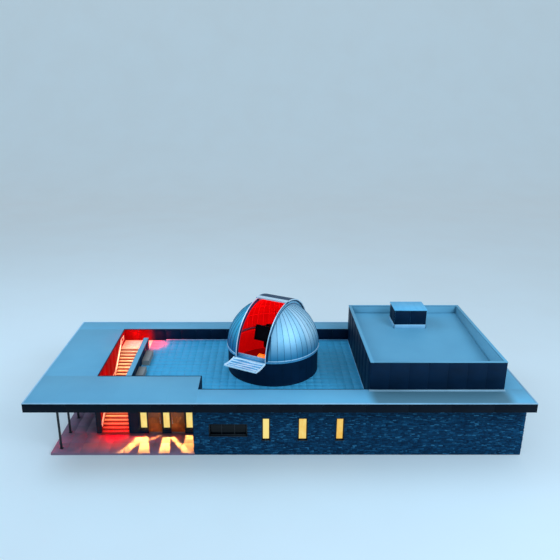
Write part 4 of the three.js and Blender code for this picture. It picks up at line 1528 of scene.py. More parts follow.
@dataclass
class Roof:
    """The flat roof round the sunken terrace: membrane, edge metal, deep fascia, soffit."""

    top: float = 5.0
    under: float = 4.75
    drop: float = 0.014
    inset: float = 0.02
    edge: Pair = (18.0, 7.5)
    lap: float = 2.0
    lap_wide: float = 0.09
    lap_raised: float = 0.0015
    trim_wide: float = 0.11
    trim_leg: float = 0.055
    inner_trim: float = 0.06
    fascia_foot: float = 4.29
    fascia_thick: float = 0.045
    fascia_back: float = 0.02
    fascia_panel: float = 3.0
    fascia_joint: float = 0.003
    soffit_board: float = 0.3

    def build(self) -> None:
        """Builds and dresses the roof's pieces."""
        self.decks()
        self.edges()
        self.fascia()
        self.soffit()

    def decks(self) -> None:
        """Builds the membrane on the five decks, the front one beside the hall in its shade."""
        x, y, inset = *self.edge, self.inset
        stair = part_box("stair_west_wall")[1]
        step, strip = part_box("roof_front_west")[1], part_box("roof_front_east")[1]
        areas = np.array([
            (-x, step.x, -y, step.y),
            (step.x, x, -y, strip.y),
            (-x, stair.x, step.y, stair.y),
            (-x, x, stair.y, y),
            (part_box("roof_east")[0].x, x, strip.y, stair.y),
        ])
        areas[:, ::2] = np.maximum(areas[:, ::2], (inset - x, inset - y))
        areas[:, 1::2] = np.minimum(areas[:, 1::2], (x - inset, y - inset))
        surface = self.top - self.drop
        shaded, deck = Build(), Build()
        shaded.slabs(Side.TOP, 0, areas[1], self.under, surface, 0.002)
        place("roof_membrane_front_strip", shaded, SHADED_MEMBRANE)
        areas = np.delete(areas, 1, axis=0)
        deck.slabs(Side.TOP, 0, areas, self.under, surface, 0.002)
        laps = []
        for a, b, c, d in areas:
            along = b - a > d - c
            start, end = (a, b) if along else (c, d)
            first, last = math.ceil(start / self.lap), math.floor(end / self.lap)
            for cut in np.arange(first, last + 1) * self.lap:
                if cut + 0.1 < end:
                    over = (cut, cut + self.lap_wide)
                    across = (c, d) if along else (a, b)
                    across = (across[0] + 0.01, across[1] - 0.01)
                    laps.append((*over, *across) if along else (*across, *over))
        deck.slabs(Side.TOP, 0, laps, surface - 0.004, surface + self.lap_raised, 0.003, 0.8)
        nodes = ["roof_front_west", "roof_front_east", "roof_west", "roof_back", "roof_east"]
        place("roof_membrane_decks", deck, MEMBRANE, replaces=nodes)

    def edges(self) -> None:
        """Builds the pale edge metal round the roof, and the thin one round the opening."""
        x, y = self.edge
        wide, leg, thin = self.trim_wide, self.trim_leg, self.inner_trim
        metal, inner, coping = Build(), Build(), Build()
        outline = np.array([(-x, -y), (x, -y), (x, y), (-x, y)])
        inward = -np.sign(outline)
        profile = np.array([
            (0, -leg), (0.004, -leg), (0.006, -0.01), (wide, -0.012), (wide, -0.006),
            (0.01, 0), (0, 0),
        ])
        sections = np.empty((4, len(profile), 3))
        sections[..., :2] = outline[:, None] + inward[:, None] * profile[:, :1]
        sections[..., 2] = self.top + profile[:, 1]
        metal.carry(sections, closed=True)
        stair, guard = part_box("stair_west_wall")[1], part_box("stair_guard_wall")
        step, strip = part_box("roof_front_west")[1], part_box("roof_front_east")[1]
        hall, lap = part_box("hall_west_wall")[0].x, 0.012
        caps = [
            (stair.x - thin, stair.x + lap, step.y - thin, stair.y + thin),
            (stair.x + lap, step.x, step.y - thin, step.y + lap),
            (step.x - thin, step.x + lap, strip.y - thin, step.y),
            (step.x, hall, strip.y - thin, strip.y + lap),
            (stair.x, hall, stair.y - lap, stair.y + thin),
        ]
        inner.slabs(Side.TOP, 0, caps, self.top - 0.03, self.top - 0.001, 0.004)
        place("opening_edge_metal", inner, COATED_PANEL)
        cap = [(guard[0].x - lap, guard[1].x + lap, step.y + lap, guard[1].y + lap)]
        coping.slabs(Side.TOP, 0, cap, self.top - 0.05, self.top + 0.012, 0.006)
        place("guard_wall_coping", coping, MEMBRANE)
        place("roof_edge_metal", metal, PALE_TRIM)

    def fascia(self) -> None:
        """Builds the deep edge board as panels with open joints, on a dark backing."""
        x, y = self.edge
        low, high = self.fascia_foot, self.top - self.trim_leg - 0.006
        short = y - (self.fascia_thick + self.fascia_back)
        panels = Build()
        runs = [
            (Side.FRONT, -y, x), (Side.BACK, y, x), (Side.EAST, x, short), (Side.WEST, -x, short)
        ]
        for side, plane, reach in runs:
            count = int(2 * reach / self.fascia_panel)
            parts = split(-reach, reach, count, self.fascia_joint)
            parts[0] = (0.006 - reach, parts[0][1])
            parts[-1] = (parts[-1][0], reach - 0.006)
            rects = [(*ends, low, high) for ends in parts]
            backing = [(0.03 - reach, reach - 0.03, low + 0.02, high)]
            panels.slabs(side, plane, rects, -self.fascia_thick, -0.006, 0.003)
            panels.slabs(side, plane, backing, -0.06, -0.03, 0.001)
        place("roof_fascia_panels", panels, SHADED_FASCIA_PANEL)

    def soffit(self) -> None:
        """Builds the boards under the overhang, between the fascia and the walls."""
        x, y = self.edge[0] - 0.06, self.edge[1] - 0.06
        front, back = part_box("front_stone_wall")[0].y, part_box("back_wall")[1].y
        west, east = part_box("stair_west_wall")[0].x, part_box("east_wall")[1].x
        pier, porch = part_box("corner_pier")[0].x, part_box("entrance_wall_over")[0].y
        zones = [
            (pier, x, -y, front), (-x, pier, -y, porch), (-x, west, porch, y),
            (west, x, back, y), (east, x, front, back),
        ]
        boards, foot = Build(), -self.fascia_foot
        for a, b, c, d in zones:
            count = max(1, round((d - c) / self.soffit_board))
            rects = [(a, b, *ends) for ends in split(c, d, count, 0.003)]
            boards.slabs(Side.UNDER, 0, rects, foot - 0.035, foot - 0.004, 0.003)
        place("soffit_boards", boards, COATED_PANEL)


@dataclass
class Walls:
    """The outer walls: ledgestone veneer, window frames and panes."""

    foot: float = 0.03
    head: float = 4.31
    ribbon: Rect = (-5.13, -2.32, 1.61, 2.61)
    slim_z: Pair = (1.25, 3.08)
    slim_x: tuple[Pair, ...] = ((-1.25, -0.66), (1.39, 2.07), (4.15, 4.75))
    slim_tones: Spot = (0.95, 0.55, 0.3)
    back_x: tuple[float, ...] = (-9.0, -3.6, 1.8, 7.2, 12.6)
    back_wide: float = 0.65

    def build(self) -> None:
        """Builds and dresses the walls' pieces."""
        front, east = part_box("front_stone_wall"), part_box("east_wall")
        back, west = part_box("back_wall"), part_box("stair_west_wall")
        pier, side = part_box("corner_pier"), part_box("porch_side_wall")
        slim = [(*ends, *self.slim_z) for ends in self.slim_x]
        rear = [(x, x + self.back_wide, *self.slim_z) for x in self.back_x]
        # The walls in each mesh: their side, their plane, their ends and their windows
        veneers = {
            "front": (
                (Side.FRONT, front[0].y, pier[0].x, front[1].x, [self.ribbon, *slim]),
                (Side.WEST, side[0].x, pier[0].y, side[1].y, ()),
            ),
            "side": (
                (Side.EAST, east[1].x, front[0].y, back[1].y, ()),
                (Side.WEST, west[0].x, west[0].y, back[1].y, ()),
            ),
            "back": ((Side.BACK, back[1].y, back[0].x, back[1].x, rear),),
        }
        lay = StoneVeneer()
        for name, walls in veneers.items():
            stone = Build()
            for face, plane, start, end, holes in walls:
                lay.lay(stone, face, plane, (start, end, self.foot, self.head), holes)
            place(f"{name}_ledgestone", stone, SLATE)
        frames, lit, dark = Build(), Build(), Build()
        row = WindowSet(Side.FRONT, front[0].y, frames)
        row.fit(dark, self.ribbon, bars=2)
        for tone, rect in zip(self.slim_tones, slim):
            row.fit(lit, rect, tone)
        other = WindowSet(Side.BACK, back[1].y, frames)
        for rect in rear:
            other.fit(lit, rect)
        place("window_frames", frames, POWDER_COAT)
        place("unlit_window_panes", dark, DARK_GLASS)
        glass = ["front_window_glass", "back_window_glass"]
        place("lit_window_panes", lit, LIT_GLASS, replaces=glass)
        dress(MORTAR, "front_stone_wall", "east_wall", "back_wall", "stair_west_wall")
        dress(MORTAR, "corner_pier", "porch_side_wall")
        dress(CONCRETE, "ground_floor")
        dress(PORCH_SLAB_RED_SPILL, "porch_slab")


@dataclass
class Entrance:
    """The recessed entrance: dark panels, three lit windows and two timber doors."""

    panes: tuple[str, ...] = ("entrance_glass_west", "entrance_glass_middle", "entrance_glass_east")
    stile: float = 0.13
    bands: tuple[float, ...] = (0.62, 1.12, 1.62, 2.12)
    sunk: float = 0.012
    barrel: float = 0.024
    pull_z: Pair = (1.08, 1.62)
    lock_z: Pair = (1.02, 1.34)
    tile: float = 1.07

    def build(self) -> None:
        """Builds and dresses the entrance."""
        walls = ("west", "middle", "east", "over")
        dress(COATED_PANEL, *(f"entrance_wall_{part}" for part in walls))
        frames, lit = Build(), Build()
        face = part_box("entrance_wall_west")[0].y
        row = WindowSet(
            Side.FRONT, face, frames, recess=0.15, band_wide=0.02, band_proud=0.02
        )
        for name in self.panes:
            low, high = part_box(name)
            row.fit(lit, (low.x, high.x, low.z, high.z), 0.75)
        place("entrance_window_frames", frames, POWDER_COAT)
        panes = place("entrance_window_panes", lit, LIT_GLASS, replaces=self.panes)
        panes.visible_shadow = False
        self.door("west", 1)
        self.door("east", -1)
        self.floor()

    def door(self, name: str, sign: int) -> None:
        """Builds one door leaf with stiles, rails and sunk boards, and its fittings.

        Args:
            name: west or east.
            sign: 1 where the hinge is on the left, -1 where it is on the right.
        """
        node, body = f"entrance_door_{name}", f"door_{name}"
        low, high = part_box(node)
        reach, w = self.barrel / 2, self.stile
        left, right = low.x + (reach if sign > 0 else 0), high.x - (0 if sign > 0 else reach)
        back, front = high.y - 0.016, low.y
        thick = back - front
        leaf, fittings = Build(), Build()
        whole = [(left, right, low.z, high.z)]
        leaf.slabs(Side.FRONT, back, whole, 0.008, thick - self.sunk, 0.002)
        stiles = [(left, left + w, low.z, high.z), (right - w, right, low.z, high.z)]
        levels = [(band - 0.05, band + 0.05) for band in self.bands]
        levels += [(low.z, low.z + 0.14), (high.z - w, high.z)]
        rails = [(left + w, right - w, *level) for level in levels]
        leaf.slabs(Side.FRONT, back, stiles + rails, thick - self.sunk - 0.002, thick, 0.003)
        leaf.slabs(Side.FRONT, back, stiles, 0, 0.01, 0.003)
        place(f"timber_door_{name}", leaf, TIMBER, body, [node])
        free = right - 0.1 if sign > 0 else left + 0.1
        pull, proud = self.pull_z, front - 0.05
        plates = [
            (left + 0.02, right - 0.02, low.z + 0.01, low.z + 0.16),
            (free - 0.03, free + 0.03, *self.lock_z),
        ]
        fittings.slabs(Side.FRONT, front, plates, -0.001, 0.003, 0.0015)
        fittings.bar((free, proud, pull[0]), (free, proud, pull[1]), 0.014, 12)
        for height in (pull[0] + 0.05, pull[1] - 0.05):
            fittings.bar((free, front + 0.004, height), (free, proud, height), 0.009, 10)
        hinge, y = low.x + reach if sign > 0 else high.x - reach, high.y - 0.0125
        for height in (low.z + 0.18, (low.z + high.z) / 2, high.z - 0.3):
            fittings.bar((hinge, y, height), (hinge, y, height + 0.12), 0.011, 12)
        place(f"door_fittings_{name}", fittings, BRUSHED, body, smooth=30)

    def floor(self) -> None:
        """Builds the porch's cast slabs with open joints, no higher than the doors' undersides."""
        low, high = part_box("porch_slab")
        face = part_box("entrance_wall_over")[0].y
        slabs = Build()
        for a, b, c, d in (
            (low.x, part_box("porch_side_wall")[0].x, low.y, face),
            (low.x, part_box("stair_west_wall")[0].x, face, high.y),
        ):
            nx, ny = (max(1, round(size / self.tile)) for size in (b - a, d - c))
            rects = [(*xs, *ys) for ys in split(c, d, ny, 0.004) for xs in split(a, b, nx, 0.004)]
            tones = np.random.default_rng(SEED).uniform(0.2, 0.9, len(rects))
            slabs.slabs(Side.TOP, 0, rects, high.z - 0.002, high.z + 0.004, 0.002, tones)
        place("porch_floor_slabs", slabs, PORCH_SLAB_RED_SPILL)


@dataclass
class Stair:
    """The open stair from the porch to the terrace, between red lit walls."""

    risers: int = 22
    rise: float = 0.17
    tread: float = 0.28
    cap: float = 0.03
    nosing: float = 0.02
    edge_strip: Pair = (0.008, 0.058)
    panel: float = 1.2
    panel_foot: float = 0.16
    strip_above: float = 0.865

    def build(self) -> None:
        """Builds and dresses the stair."""
        lower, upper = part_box("stair_lower_flight"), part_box("stair_upper_flight")
        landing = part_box("stair_top_landing")[1]
        half = self.risers // 2
        turn = upper[1].y - (half - 1) * self.tread
        left, right = lower[0].x + 0.02, lower[1].x - 0.004
        rects, heights = [], []
        for k in (*range(1, half), *range(half + 1, self.risers)):
            first = lower[0].y if k < half else turn
            front = first + (k - 1 if k < half else k - half - 1) * self.tread
            rects.append((left, right, front - self.nosing, front + self.tread - 0.003))
            heights.append(lower[0].z + k * self.rise)
        rects.append((left, right, lower[1].y - self.nosing, turn - 0.003))
        rects.append((left, landing.x, upper[1].y - self.nosing, landing.y - 0.02))
        levels = np.array([*heights, lower[1].z, landing.z])
        tops = levels + self.cap
        caps, strips = Build(), Build()
        caps.slabs(Side.TOP, 0, rects, levels - 0.001, tops, 0.005)
        place("stair_tread_caps", caps, LIT_TREAD_STONE)
        near, far = self.edge_strip
        lines = [(left + 0.02, right - 0.02, c + near, c + far) for _, _, c, _ in rects]
        strips.slabs(Side.TOP, 0, lines, tops - 0.003, tops + 0.002, 0.001)
        place("stair_nosing_strips", strips, NOSING_AND_SHADOW)
        dress(RISER_STONE, "stair_lower_flight", "stair_upper_flight", "stair_top_landing")
        self.walls()
        low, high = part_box("stair_handrail")
        x, above = (low.x + high.x) / 2 + 0.03, self.strip_above
        points = [
            (x, lower[0].y + 0.05, lower[0].z + self.rise + above),
            (x, lower[1].y, lower[1].z + above),
            (x, turn, lower[1].z + above),
            (x, upper[1].y - self.tread, upper[1].z - self.rise + above),
        ]
        strip = Build()
        for start, end in zip(points[:-1], points[1:]):
            strip.bar(start, end, 0.014, 8)
        place("handrail_light_strip", strip, RAIL_LED)
        dress(LIT_RAIL, "stair_handrail")

    def walls(self) -> None:
        """Builds the panels that line the stair's walls."""
        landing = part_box("stair_top_landing")[1]
        west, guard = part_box("stair_west_wall"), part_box("stair_guard_wall")
        panels, fading = Build(), Build()
        rows = [
            (panels, Side.EAST, west[1].x, west[0].y, west[1].y - 0.016, self.panel_foot, 0.016),
            (panels, Side.WEST, guard[0].x, guard[0].y, guard[1].y, self.panel_foot, 0.010),
            (fading, Side.FRONT, west[1].y, west[1].x, landing.x + RED_REACH, landing.z, 0.016),
        ]
        for build, side, plane, start, end, low, thick in rows:
            row = panel_row(start, end, low, PANEL_TOP, self.panel)
            build.slabs(side, plane, row, 0, thick, 0.003)
        place("stair_wall_panels", panels, RED_PANEL)
        place("stair_back_panels", fading, RED_LIGHT_FADE_PANEL)
        dress(COATED_PANEL, "stair_guard_wall")


@dataclass
class Terrace:
    """The sunken roof terrace: pavers round the drum, wall cladding and two benches."""

    paver: float = 0.61
    thick: float = 0.03
    gap: float = 0.004
    keep_out: float = 3.40
    panel: float = 1.4
    slat: float = 0.11

    def build(self) -> None:
        """Builds and dresses the terrace."""
        self.pavers()
        dress(PAVER_PINK_SPILL, "terrace_floor")
        dress(BENCH_SLAT, "terrace_bench_back", "terrace_bench_front")
        dress(COATED_PANEL, "terrace_parapet")
        self.cladding()
        slats = Build()
        for name in ("terrace_bench_back", "terrace_bench_front"):
            low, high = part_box(name)
            count = round((high.y - low.y) / self.slat)
            left, right = low.x + 0.01, high.x - 0.005
            rects = [(left, right, *ys) for ys in split(low.y, high.y, count, 0.004)]
            slats.slabs(Side.TOP, 0, rects, high.z - 0.001, high.z + 0.028, 0.004)
        place("bench_slats", slats, BENCH_SLAT)

    def pavers(self) -> None:
        """Lays pavers on the floor, but not where they would lie wholly under the drum."""
        floor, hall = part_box("terrace_floor"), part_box("hall_west_wall")[0].x
        step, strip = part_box("roof_front_west")[1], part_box("roof_front_east")[1]
        centre, size = DomeShape().centre, self.paver
        xs = np.arange(floor[0].x + 0.01, hall, size)
        ys = np.arange(floor[1].y - 0.02, strip.y, -size)
        x0, y1 = (grid.ravel() for grid in np.meshgrid(xs, ys))
        x1, y0 = np.minimum(x0 + size, hall), np.maximum(y1 - size, strip.y)
        y0 = np.where(x0 < step.x, np.maximum(y0, step.y), y0)
        far_x = np.maximum(abs(x0 - centre[0]), abs(x1 - centre[0]))
        far_y = np.maximum(abs(y0 - centre[1]), abs(y1 - centre[1]))
        wanted = (np.hypot(far_x, far_y) > self.keep_out) & (y1 - y0 > 0.05) & (x1 - x0 > 0.05)
        half = self.gap / 2
        rects = np.stack([x0 + half, x1 - half, y0 + half, y1 - half], axis=1)[wanted]
        tones = np.random.default_rng(SEED).uniform(0.1, 0.9, len(rects))
        pavers = Build()
        pavers.slabs(Side.TOP, floor[1].z, rects, -0.002, self.thick, 0.002, tones)
        place("terrace_pavers", pavers, PAVER_PINK_SPILL)

    def cladding(self) -> None:
        """Builds the dark panels round the terrace, with a pale strip at their foot."""
        floor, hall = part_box("terrace_floor")[1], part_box("hall_west_wall")[0].x
        step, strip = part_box("roof_front_west")[1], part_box("roof_front_east")[1]
        guard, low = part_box("stair_guard_wall"), floor.z
        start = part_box("stair_top_landing")[1].x + RED_REACH
        panels, foot = Build(), Build()
        rows = [
            (Side.FRONT, floor.y, start, hall),
            (Side.EAST, guard[1].x, guard[0].y + 0.46, guard[1].y),
            (Side.BACK, step.y, guard[1].x, step.x),
            (Side.BACK, strip.y, step.x, hall),
            (Side.EAST, step.x, strip.y, step.y),
        ]
        for side, plane, first, last in rows:
            row = panel_row(first, last, low + 0.12, PANEL_TOP, self.panel)
            panels.slabs(side, plane, row, 0, 0.018, 0.003)
            foot.slabs(side, plane, [(first, last, low + 0.03, low + 0.11)], 0, 0.022, 0.003)
        place("terrace_wall_panels", panels, COATED_PANEL)
        place("terrace_base_flashing", foot, PALE_TRIM)


@dataclass
class Hall:
    """The raised hall: clad walls, coping, upstands inside its edge, sloping roof, hatch."""

    panel: float = 1.4
    clad: float = 0.014
    coping: float = 0.05
    overhang: float = 0.02
    upstand: float = 0.012
    cant: float = 0.09
    front_foot: Pair = (0.06, 0.22)
    foot: Pair = (0.09, 0.022)
    hatch_inset: float = 0.06
    curb: Pair = (0.34, 0.05)
    seams: int = 5

    def build(self) -> None:
        """Builds and dresses the hall."""
        west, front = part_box("hall_west_wall"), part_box("hall_front_wall")
        east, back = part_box("hall_east_wall"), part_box("hall_back_wall")
        deck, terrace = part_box("roof_front_east")[1].z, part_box("terrace_floor")[1].z
        x0, x1, y0, y1 = west[0].x, east[1].x, front[0].y, back[1].y
        height, gutter = front[1].z, deck - 0.012
        panels, pale, foot, coping = Build(), Build(), Build(), Build()
        rise, reach = self.front_foot
        low, thick = self.foot
        for side, plane, start, end, base in (
            (Side.FRONT, y0, x0, x1, deck + rise),
            (Side.WEST, x0, front[1].y, west[1].y, terrace + 0.14),
            (Side.EAST, x1, y0, y1, deck + 0.1),
            (Side.BACK, y1, x0, x1, deck + 0.1),
        ):
            row = panel_row(start, end, base, height - 0.04, self.panel, 0.003)
            panels.slabs(side, plane, row, 0, self.clad, 0.002)
        place("hall_wall_panels", panels, COATED_PANEL)
        out, into = self.overhang, west[1].x - x0 + self.overhang
        front_foot = [(x0 - out, x1 + out, gutter, deck + rise)]
        foot.slabs(Side.FRONT, y0, front_foot, 0, reach, 0.008)
        place("hall_front_flashing", foot, SHADED_FLASHING)
        for side, plane, rect in (
            (Side.EAST, x1, (y0, y1, gutter, deck + low)),
            (Side.BACK, y1, (x0, x1, gutter, deck + low)),
            (Side.WEST, x0, (front[1].y + 0.02, west[1].y, terrace + 0.03, terrace + 0.13)),
        ):
            pale.slabs(side, plane, [rect], 0, thick, 0.004)
        caps = [
            (x0 - out, x0 + into, y0 - out, y1 + out),
            (x1 - into, x1 + out, y0 - out, y1 + out),
            (x0 + into, x1 - into, y0 - out, front[1].y + 0.01),
            (x0 + into, x1 - into, back[0].y - 0.01, y1 + out),
        ]
        coping.slabs(Side.TOP, 0, caps, height - self.coping, height + 0.014, 0.005)
        place("hall_coping", coping, MEMBRANE)
        place("hall_foot_flashing", pale, PALE_TRIM)
        dress(COATED_PANEL, *(f"hall_{side}_wall" for side in ("west", "front", "back", "east")))
        inside = (west[1].x, east[0].x, front[1].y, back[0].y)
        self.upstands(inside, height - self.coping)
        self.hatch()

    def upstands(self, inside: Rect, top: float) -> None:
        """Builds the upstands inside the edge, with a cant at their foot.

        The roof's surface rises evenly from the front to the back, and the cant follows it.

        Args:
            inside: Left, right, front and back of the roof's surface.
            top: How high the upstands reach.
        """
        x0, x1, y0, y1 = inside
        low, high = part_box("hall_roof")
        front = low.z + 0.2
        slope = (high.z - front) / (y1 - y0)
        thick, cant = self.upstand, self.cant
        lining = Build()
        for ends, (ax, ay) in (
            ([(x0, y0), (x0, y1)], (1, 0)),
            ([(x1, y0), (x1, y1)], (-1, 0)),
            ([(x0, y1), (x1, y1)], (0, -1)),
            ([(x0, y0), (x1, y0)], (0, 1)),
        ):
            sections = []
            for x, y in ends:
                z = front + (y - y0) * slope
                profile = [
                    (0, z - 0.01), (cant, z + 0.002), (thick, z + cant), (thick, top), (0, top)
                ]
                sections.append([(x + ax * d, y + ay * d, h) for d, h in profile])
            lining.carry(np.array(sections))
        place("hall_roof_upstands", lining, MEMBRANE)
        dress(MEMBRANE, "hall_roof")

    def hatch(self) -> None:
        """Builds the hatch's dark sides, its lid with standing seams, and the curb at its foot."""
        low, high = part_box("hall_roof_hatch")
        inset, (rise, reach) = self.hatch_inset, self.curb
        x0, x1, y0, y1 = low.x + inset, high.x - inset, low.y + inset, high.y - inset
        sides, lid, curb = Build(), Build(), Build()
        for side, plane, start, end in (
            (Side.FRONT, y0, x0, x1), (Side.BACK, y1, x0, x1),
            (Side.EAST, x1, y0, y1), (Side.WEST, x0, y0, y1),
        ):
            rects = [(*ends, low.z, high.z - 0.1) for ends in split(start, end, 2, 0.004)]
            sides.slabs(side, plane, rects, 0, 0.014, 0.003)
            foot = [(start - reach, end + reach, low.z, low.z + rise)]
            curb.slabs(side, plane, foot, 0, reach, 0.008)
        place("roof_hatch_sides", sides, COATED_PANEL, replaces=["hall_roof_hatch"])
        place("roof_hatch_curb", curb, PALE_TRIM)
        core = [(x0 + 0.001, x1 - 0.001, y0 + 0.001, y1 - 0.001)]
        lid.slabs(Side.TOP, 0, core, low.z, high.z - 0.07, 0.002)
        cover = [(low.x, high.x, low.y, high.y)]
        lid.slabs(Side.TOP, 0, cover, high.z - 0.09, high.z - 0.012, 0.012)
        seams = [
            (x - 0.012, x + 0.012, low.y + 0.02, high.y - 0.02)
            for x in np.linspace(low.x + 0.3, high.x - 0.3, self.seams)
        ]
        lid.slabs(Side.TOP, 0, seams, high.z - 0.014, high.z, 0.003)
        place("roof_hatch_lid", lid, HATCH_LID)


@dataclass
class Canopy:
    """The slim posts of the porch, with base plates and bolts."""

    posts: int = 6
    plate: float = 0.13
    thick: float = 0.016
    bolt_place: float = 0.75

    def build(self) -> None:
        """Builds the plates and dresses the posts."""
        low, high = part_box("canopy_posts")
        half, size = (high.x - low.x) / 2, self.plate
        centre, z = low.x + half, low.z + self.thick
        ys = np.linspace(low.y + half, high.y - half, self.posts)
        fittings = Build()
        rects = [(centre - size, centre + size, y - size, y + size) for y in ys]
        fittings.slabs(Side.TOP, 0, rects, low.z, z, 0.004)
        corners = [(dx, dy) for dx in (-1, 1) for dy in (-1, 1)]
        for y in ys:
            for dx, dy in corners:
                spot = (centre + dx * size * self.bolt_place, y + dy * size * self.bolt_place)
                fittings.bar((*spot, z), (*spot, z + 0.018), 0.012, 6)
        place("post_base_plates", fittings, POWDER_COAT)
        dress(POWDER_COAT, "canopy_posts")


@dataclass
class Telescope:
    """The telescope behind the slit: a flat black tube in its fork, on a bolted pier."""

    bolts: int = 12
    bolt_circle: float = 0.49

    def build(self) -> None:
        """Dresses the telescope and adds the anchor bolts at its pier's foot."""
        dress(FLAT_BLACK, "telescope_tube", "telescope_fork")
        dress(CONCRETE, "telescope_pier")
        low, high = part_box("telescope_pier")
        centre = (low + high) / 2
        anchors = Build()
        for angle in np.linspace(0, FULL_TURN, self.bolts, endpoint=False):
            x = centre.x + self.bolt_circle * math.cos(angle)
            y = centre.y + self.bolt_circle * math.sin(angle)
            anchors.bar((x, y, low.z + 0.045), (x, y, low.z + 0.15), 0.014, 6)
        place("pier_anchor_bolts", anchors, BRUSHED)


@dataclass(frozen=True)
class SoftBox:
    """A large square light over the model. only and never pick pieces by how names start."""

    name: str
    spot: Spot
    power: float
    color: str
    aim: Spot
    size: float
    only: tuple[str, ...] = ()
    never: tuple[str, ...] = ()


@dataclass(frozen=True)
class Lamp:
    """A small round lamp inside the building, of so many watts and such a radius."""

    name: str
    spot: Spot
    power: float
    color: str
    size: float


ROUND_SKIN = ("dome_cover", "dome_seams")
SOFT_BOXES = (
    SoftBox("studio_key", (36, -38, 40), 18400, "#b4deff", (0, 0, 4), 30),
    SoftBox("studio_top", (-34, 6, 44), 7800, "#a8d8ff", (-6, 0, 4), 26, ("",), ROUND_SKIN),
    SoftBox(
        "dome_sheen", (33, -1, 37), 4400, "#fff0f4", (1, 0, 7), 36,
        (*ROUND_SKIN, "shutter", "lower_door", "slit_"),
    ),
    SoftBox(
        "dome_left_sheen", (-29, 11, 38), 4900, "#d4f2ff", (-2, 0, 7), 18,
        ("dome_cover_left", "dome_seams_left"),
    ),
)
# These light the floor of the porch through the windows, and nothing else
PORCH_LAMPS = (
    Lamp("lobby_lamp_0", (-11.0, -0.3, 3.3), 34000, "#ffd660", 0.03),
    Lamp("lobby_lamp_1", (-8.95, 0.2, 3.3), 40000, "#ffd660", 0.03),
    Lamp("lobby_lamp_2", (-7.1, -2.2, 3.0), 5500, "#ffd660", 0.03),
)
# These light the whole building, but not the studio floor
OWN_LAMPS = (
    Lamp("stair_lamp_0", (-12.6, -4.1, 1.3), 150, "#ff0c06", 0.1),
    Lamp("stair_lamp_1", (-12.6, 0.5, 4.2), 30, "#ff0c06", 0.1),
    Lamp("stair_lamp_2", (-12.8, 4.9, 4.7), 120, "#ff0c06", 0.1),
    Lamp("lobby_glow_lamp", (-8.9, -1.4, 2.5), 160, "#ffd9a0", 0.3),
    Lamp("landing_lamp", (-10.7, 5.0, 4.5), 240, "#ff2028", 0.3),
    Lamp("stair_warm_lamp", (-12.4, 1.6, 4.6), 200, "#ffc890", 0.15),
    Lamp("lower_stair_lamp", (-12.6, -1.9, 3.7), 430, "#ffa860", 0.15),
    Lamp("door_glow_lamp_0", (-9.6, -4.35, 0.5), 4, "#ff3838", 0.1),
    Lamp("door_glow_lamp_1", (-7.8, -4.35, 0.5), 4, "#ff3838", 0.1),
    Lamp("porch_red_glow", (-17.6, -5.4, 1.2), 40, "#ff1850", 0.3),
    Lamp("canopy_lamp", (-8.7, -5.4, 4.1), 45, "#ffc890", 0.4),
    Lamp("dome_red_lamp", (-0.36, 0.63, 7.9), 420, "#ff0606", 0.3),
)


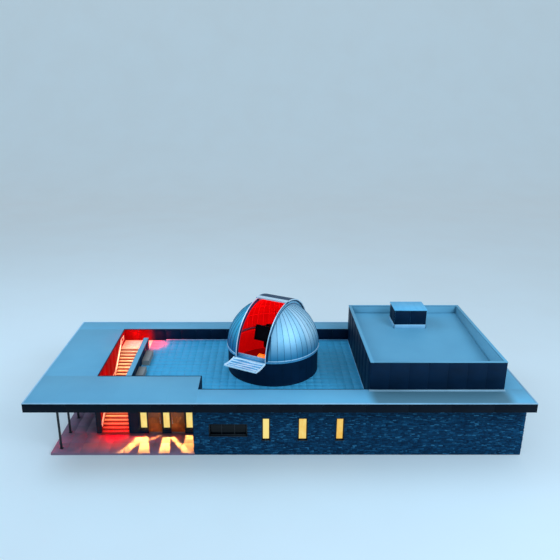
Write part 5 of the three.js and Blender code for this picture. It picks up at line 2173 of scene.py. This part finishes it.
@dataclass
class Studio:
    """Floor, soft studio light, practical lights and camera."""

    eye: Spot = (-1.1, -43.81, 26.0)
    pitch_deg: float = 71.7984
    lens: float = 37.93
    sensor: float = 36
    shift_x: float = 0.0286
    sight: float = 4000
    floor_half: float = 1500.0
    floor_front: float = -200.0
    floor_thick: float = 0.4
    bend: float = 60.0
    bend_start: float = 90.0
    wall_top: float = 160.0
    air: str = "#aedeff"
    air_strength: float = 0.74

    def build(self) -> None:
        """Builds the floor, the light and the camera."""
        self.floor()
        scene = bpy.context.scene
        world = bpy.data.worlds.new("studio_air")
        world.use_nodes = True
        air = world.node_tree.nodes["Background"].inputs
        air["Color"].default_value = linear(self.air)
        air["Strength"].default_value = self.air_strength
        scene.world = world
        for source in SOFT_BOXES:
            thing = self.light(source, "AREA")
            thing.data.size = source.size
            way = Vector(source.aim) - Vector(source.spot)
            thing.rotation_euler = way.to_track_quat("-Z", "Y").to_euler()
            if source.only:
                group = self.reached(f"lit_by_{source.name}", source.only, source.never)
                thing.light_linking.receiver_collection = group
        own = self.reached("lit_by_own_lamps", never=(STUDIO_FLOOR,))
        porch = self.reached("lit_through_windows", only=("porch",))
        for lamps, group in ((PORCH_LAMPS, porch), (OWN_LAMPS, own)):
            for source in lamps:
                thing = self.light(source, "POINT")
                thing.data.shadow_soft_size = source.size
                thing.visible_glossy = False
                thing.light_linking.receiver_collection = group
        camera = bpy.data.cameras.new("camera")
        camera.lens = self.lens
        camera.sensor_width = self.sensor
        camera.shift_x = self.shift_x
        camera.clip_end = self.sight
        thing = bpy.data.objects.new("camera", camera)
        thing.location = self.eye
        thing.rotation_euler = (math.radians(self.pitch_deg), 0, 0)
        scene.collection.objects.link(thing)
        scene.camera = thing
        scene.view_settings.view_transform = "Standard"

    def floor(self) -> None:
        """Builds the floor as a thick sheet that bends upwards far behind the model."""
        floor, turn = Build(), np.linspace(0, math.pi / 2, 24)
        end = self.bend_start + self.bend
        y = [[self.floor_front, 0.0], self.bend_start + self.bend * np.sin(turn), [end]]
        z = [[0.0, 0.0], self.bend * (1 - np.cos(turn)), [self.wall_top]]
        y, z = np.concatenate(y)[:, None], np.concatenate(z)[:, None] - 0.002
        across = np.array([-self.floor_half, self.floor_half])
        sheet = np.stack(np.broadcast_arrays(across, y, z), axis=-1)
        floor.shell(sheet, sheet - np.array([0, 0, self.floor_thick]))
        piece = place(STUDIO_FLOOR, floor, BACKDROP, smooth=30)

    def light(self, source: SoftBox | Lamp, kind: str) -> bpy.types.Object:
        """Adds one light of a kind, with its place, power and colour, and returns it.

        Args:
            source: The light's values.
            kind: AREA or POINT.

        Returns:
            The light's object.
        """
        lamp = bpy.data.lights.new(source.name, kind)
        lamp.energy = source.power
        lamp.color = linear(source.color)[:3]
        thing = bpy.data.objects.new(source.name, lamp)
        thing.location = source.spot
        bpy.context.scene.collection.objects.link(thing)
        return thing

    def reached(
        self, group: str, only: tuple[str, ...] = ("",), never: tuple[str, ...] = ()
    ) -> bpy.types.Collection:
        """Gathers the pieces that a light reaches.

        Args:
            group: The collection's name.
            only: How the names of the wanted pieces start.
            never: How the names of pieces to leave out start.

        Returns:
            The collection.
        """
        pieces = bpy.data.collections.new(group)
        for piece in bpy.context.scene.objects:
            name = piece.name
            if piece.type == "MESH" and name.startswith(only) and not name.startswith(never):
                pieces.objects.link(piece)
        return pieces


PARTS = (
    Roof, Walls, Entrance, Canopy, Stair, Terrace, Hall, Drum, Dome, SlitCovers, Telescope, Studio
)


def main() -> None:
    """Builds every sub-assembly in order."""
    logging.basicConfig(level=logging.INFO, format="%(name)s: %(message)s")
    for part in PARTS:
        part().build()


if __name__ == "__main__":
    main()
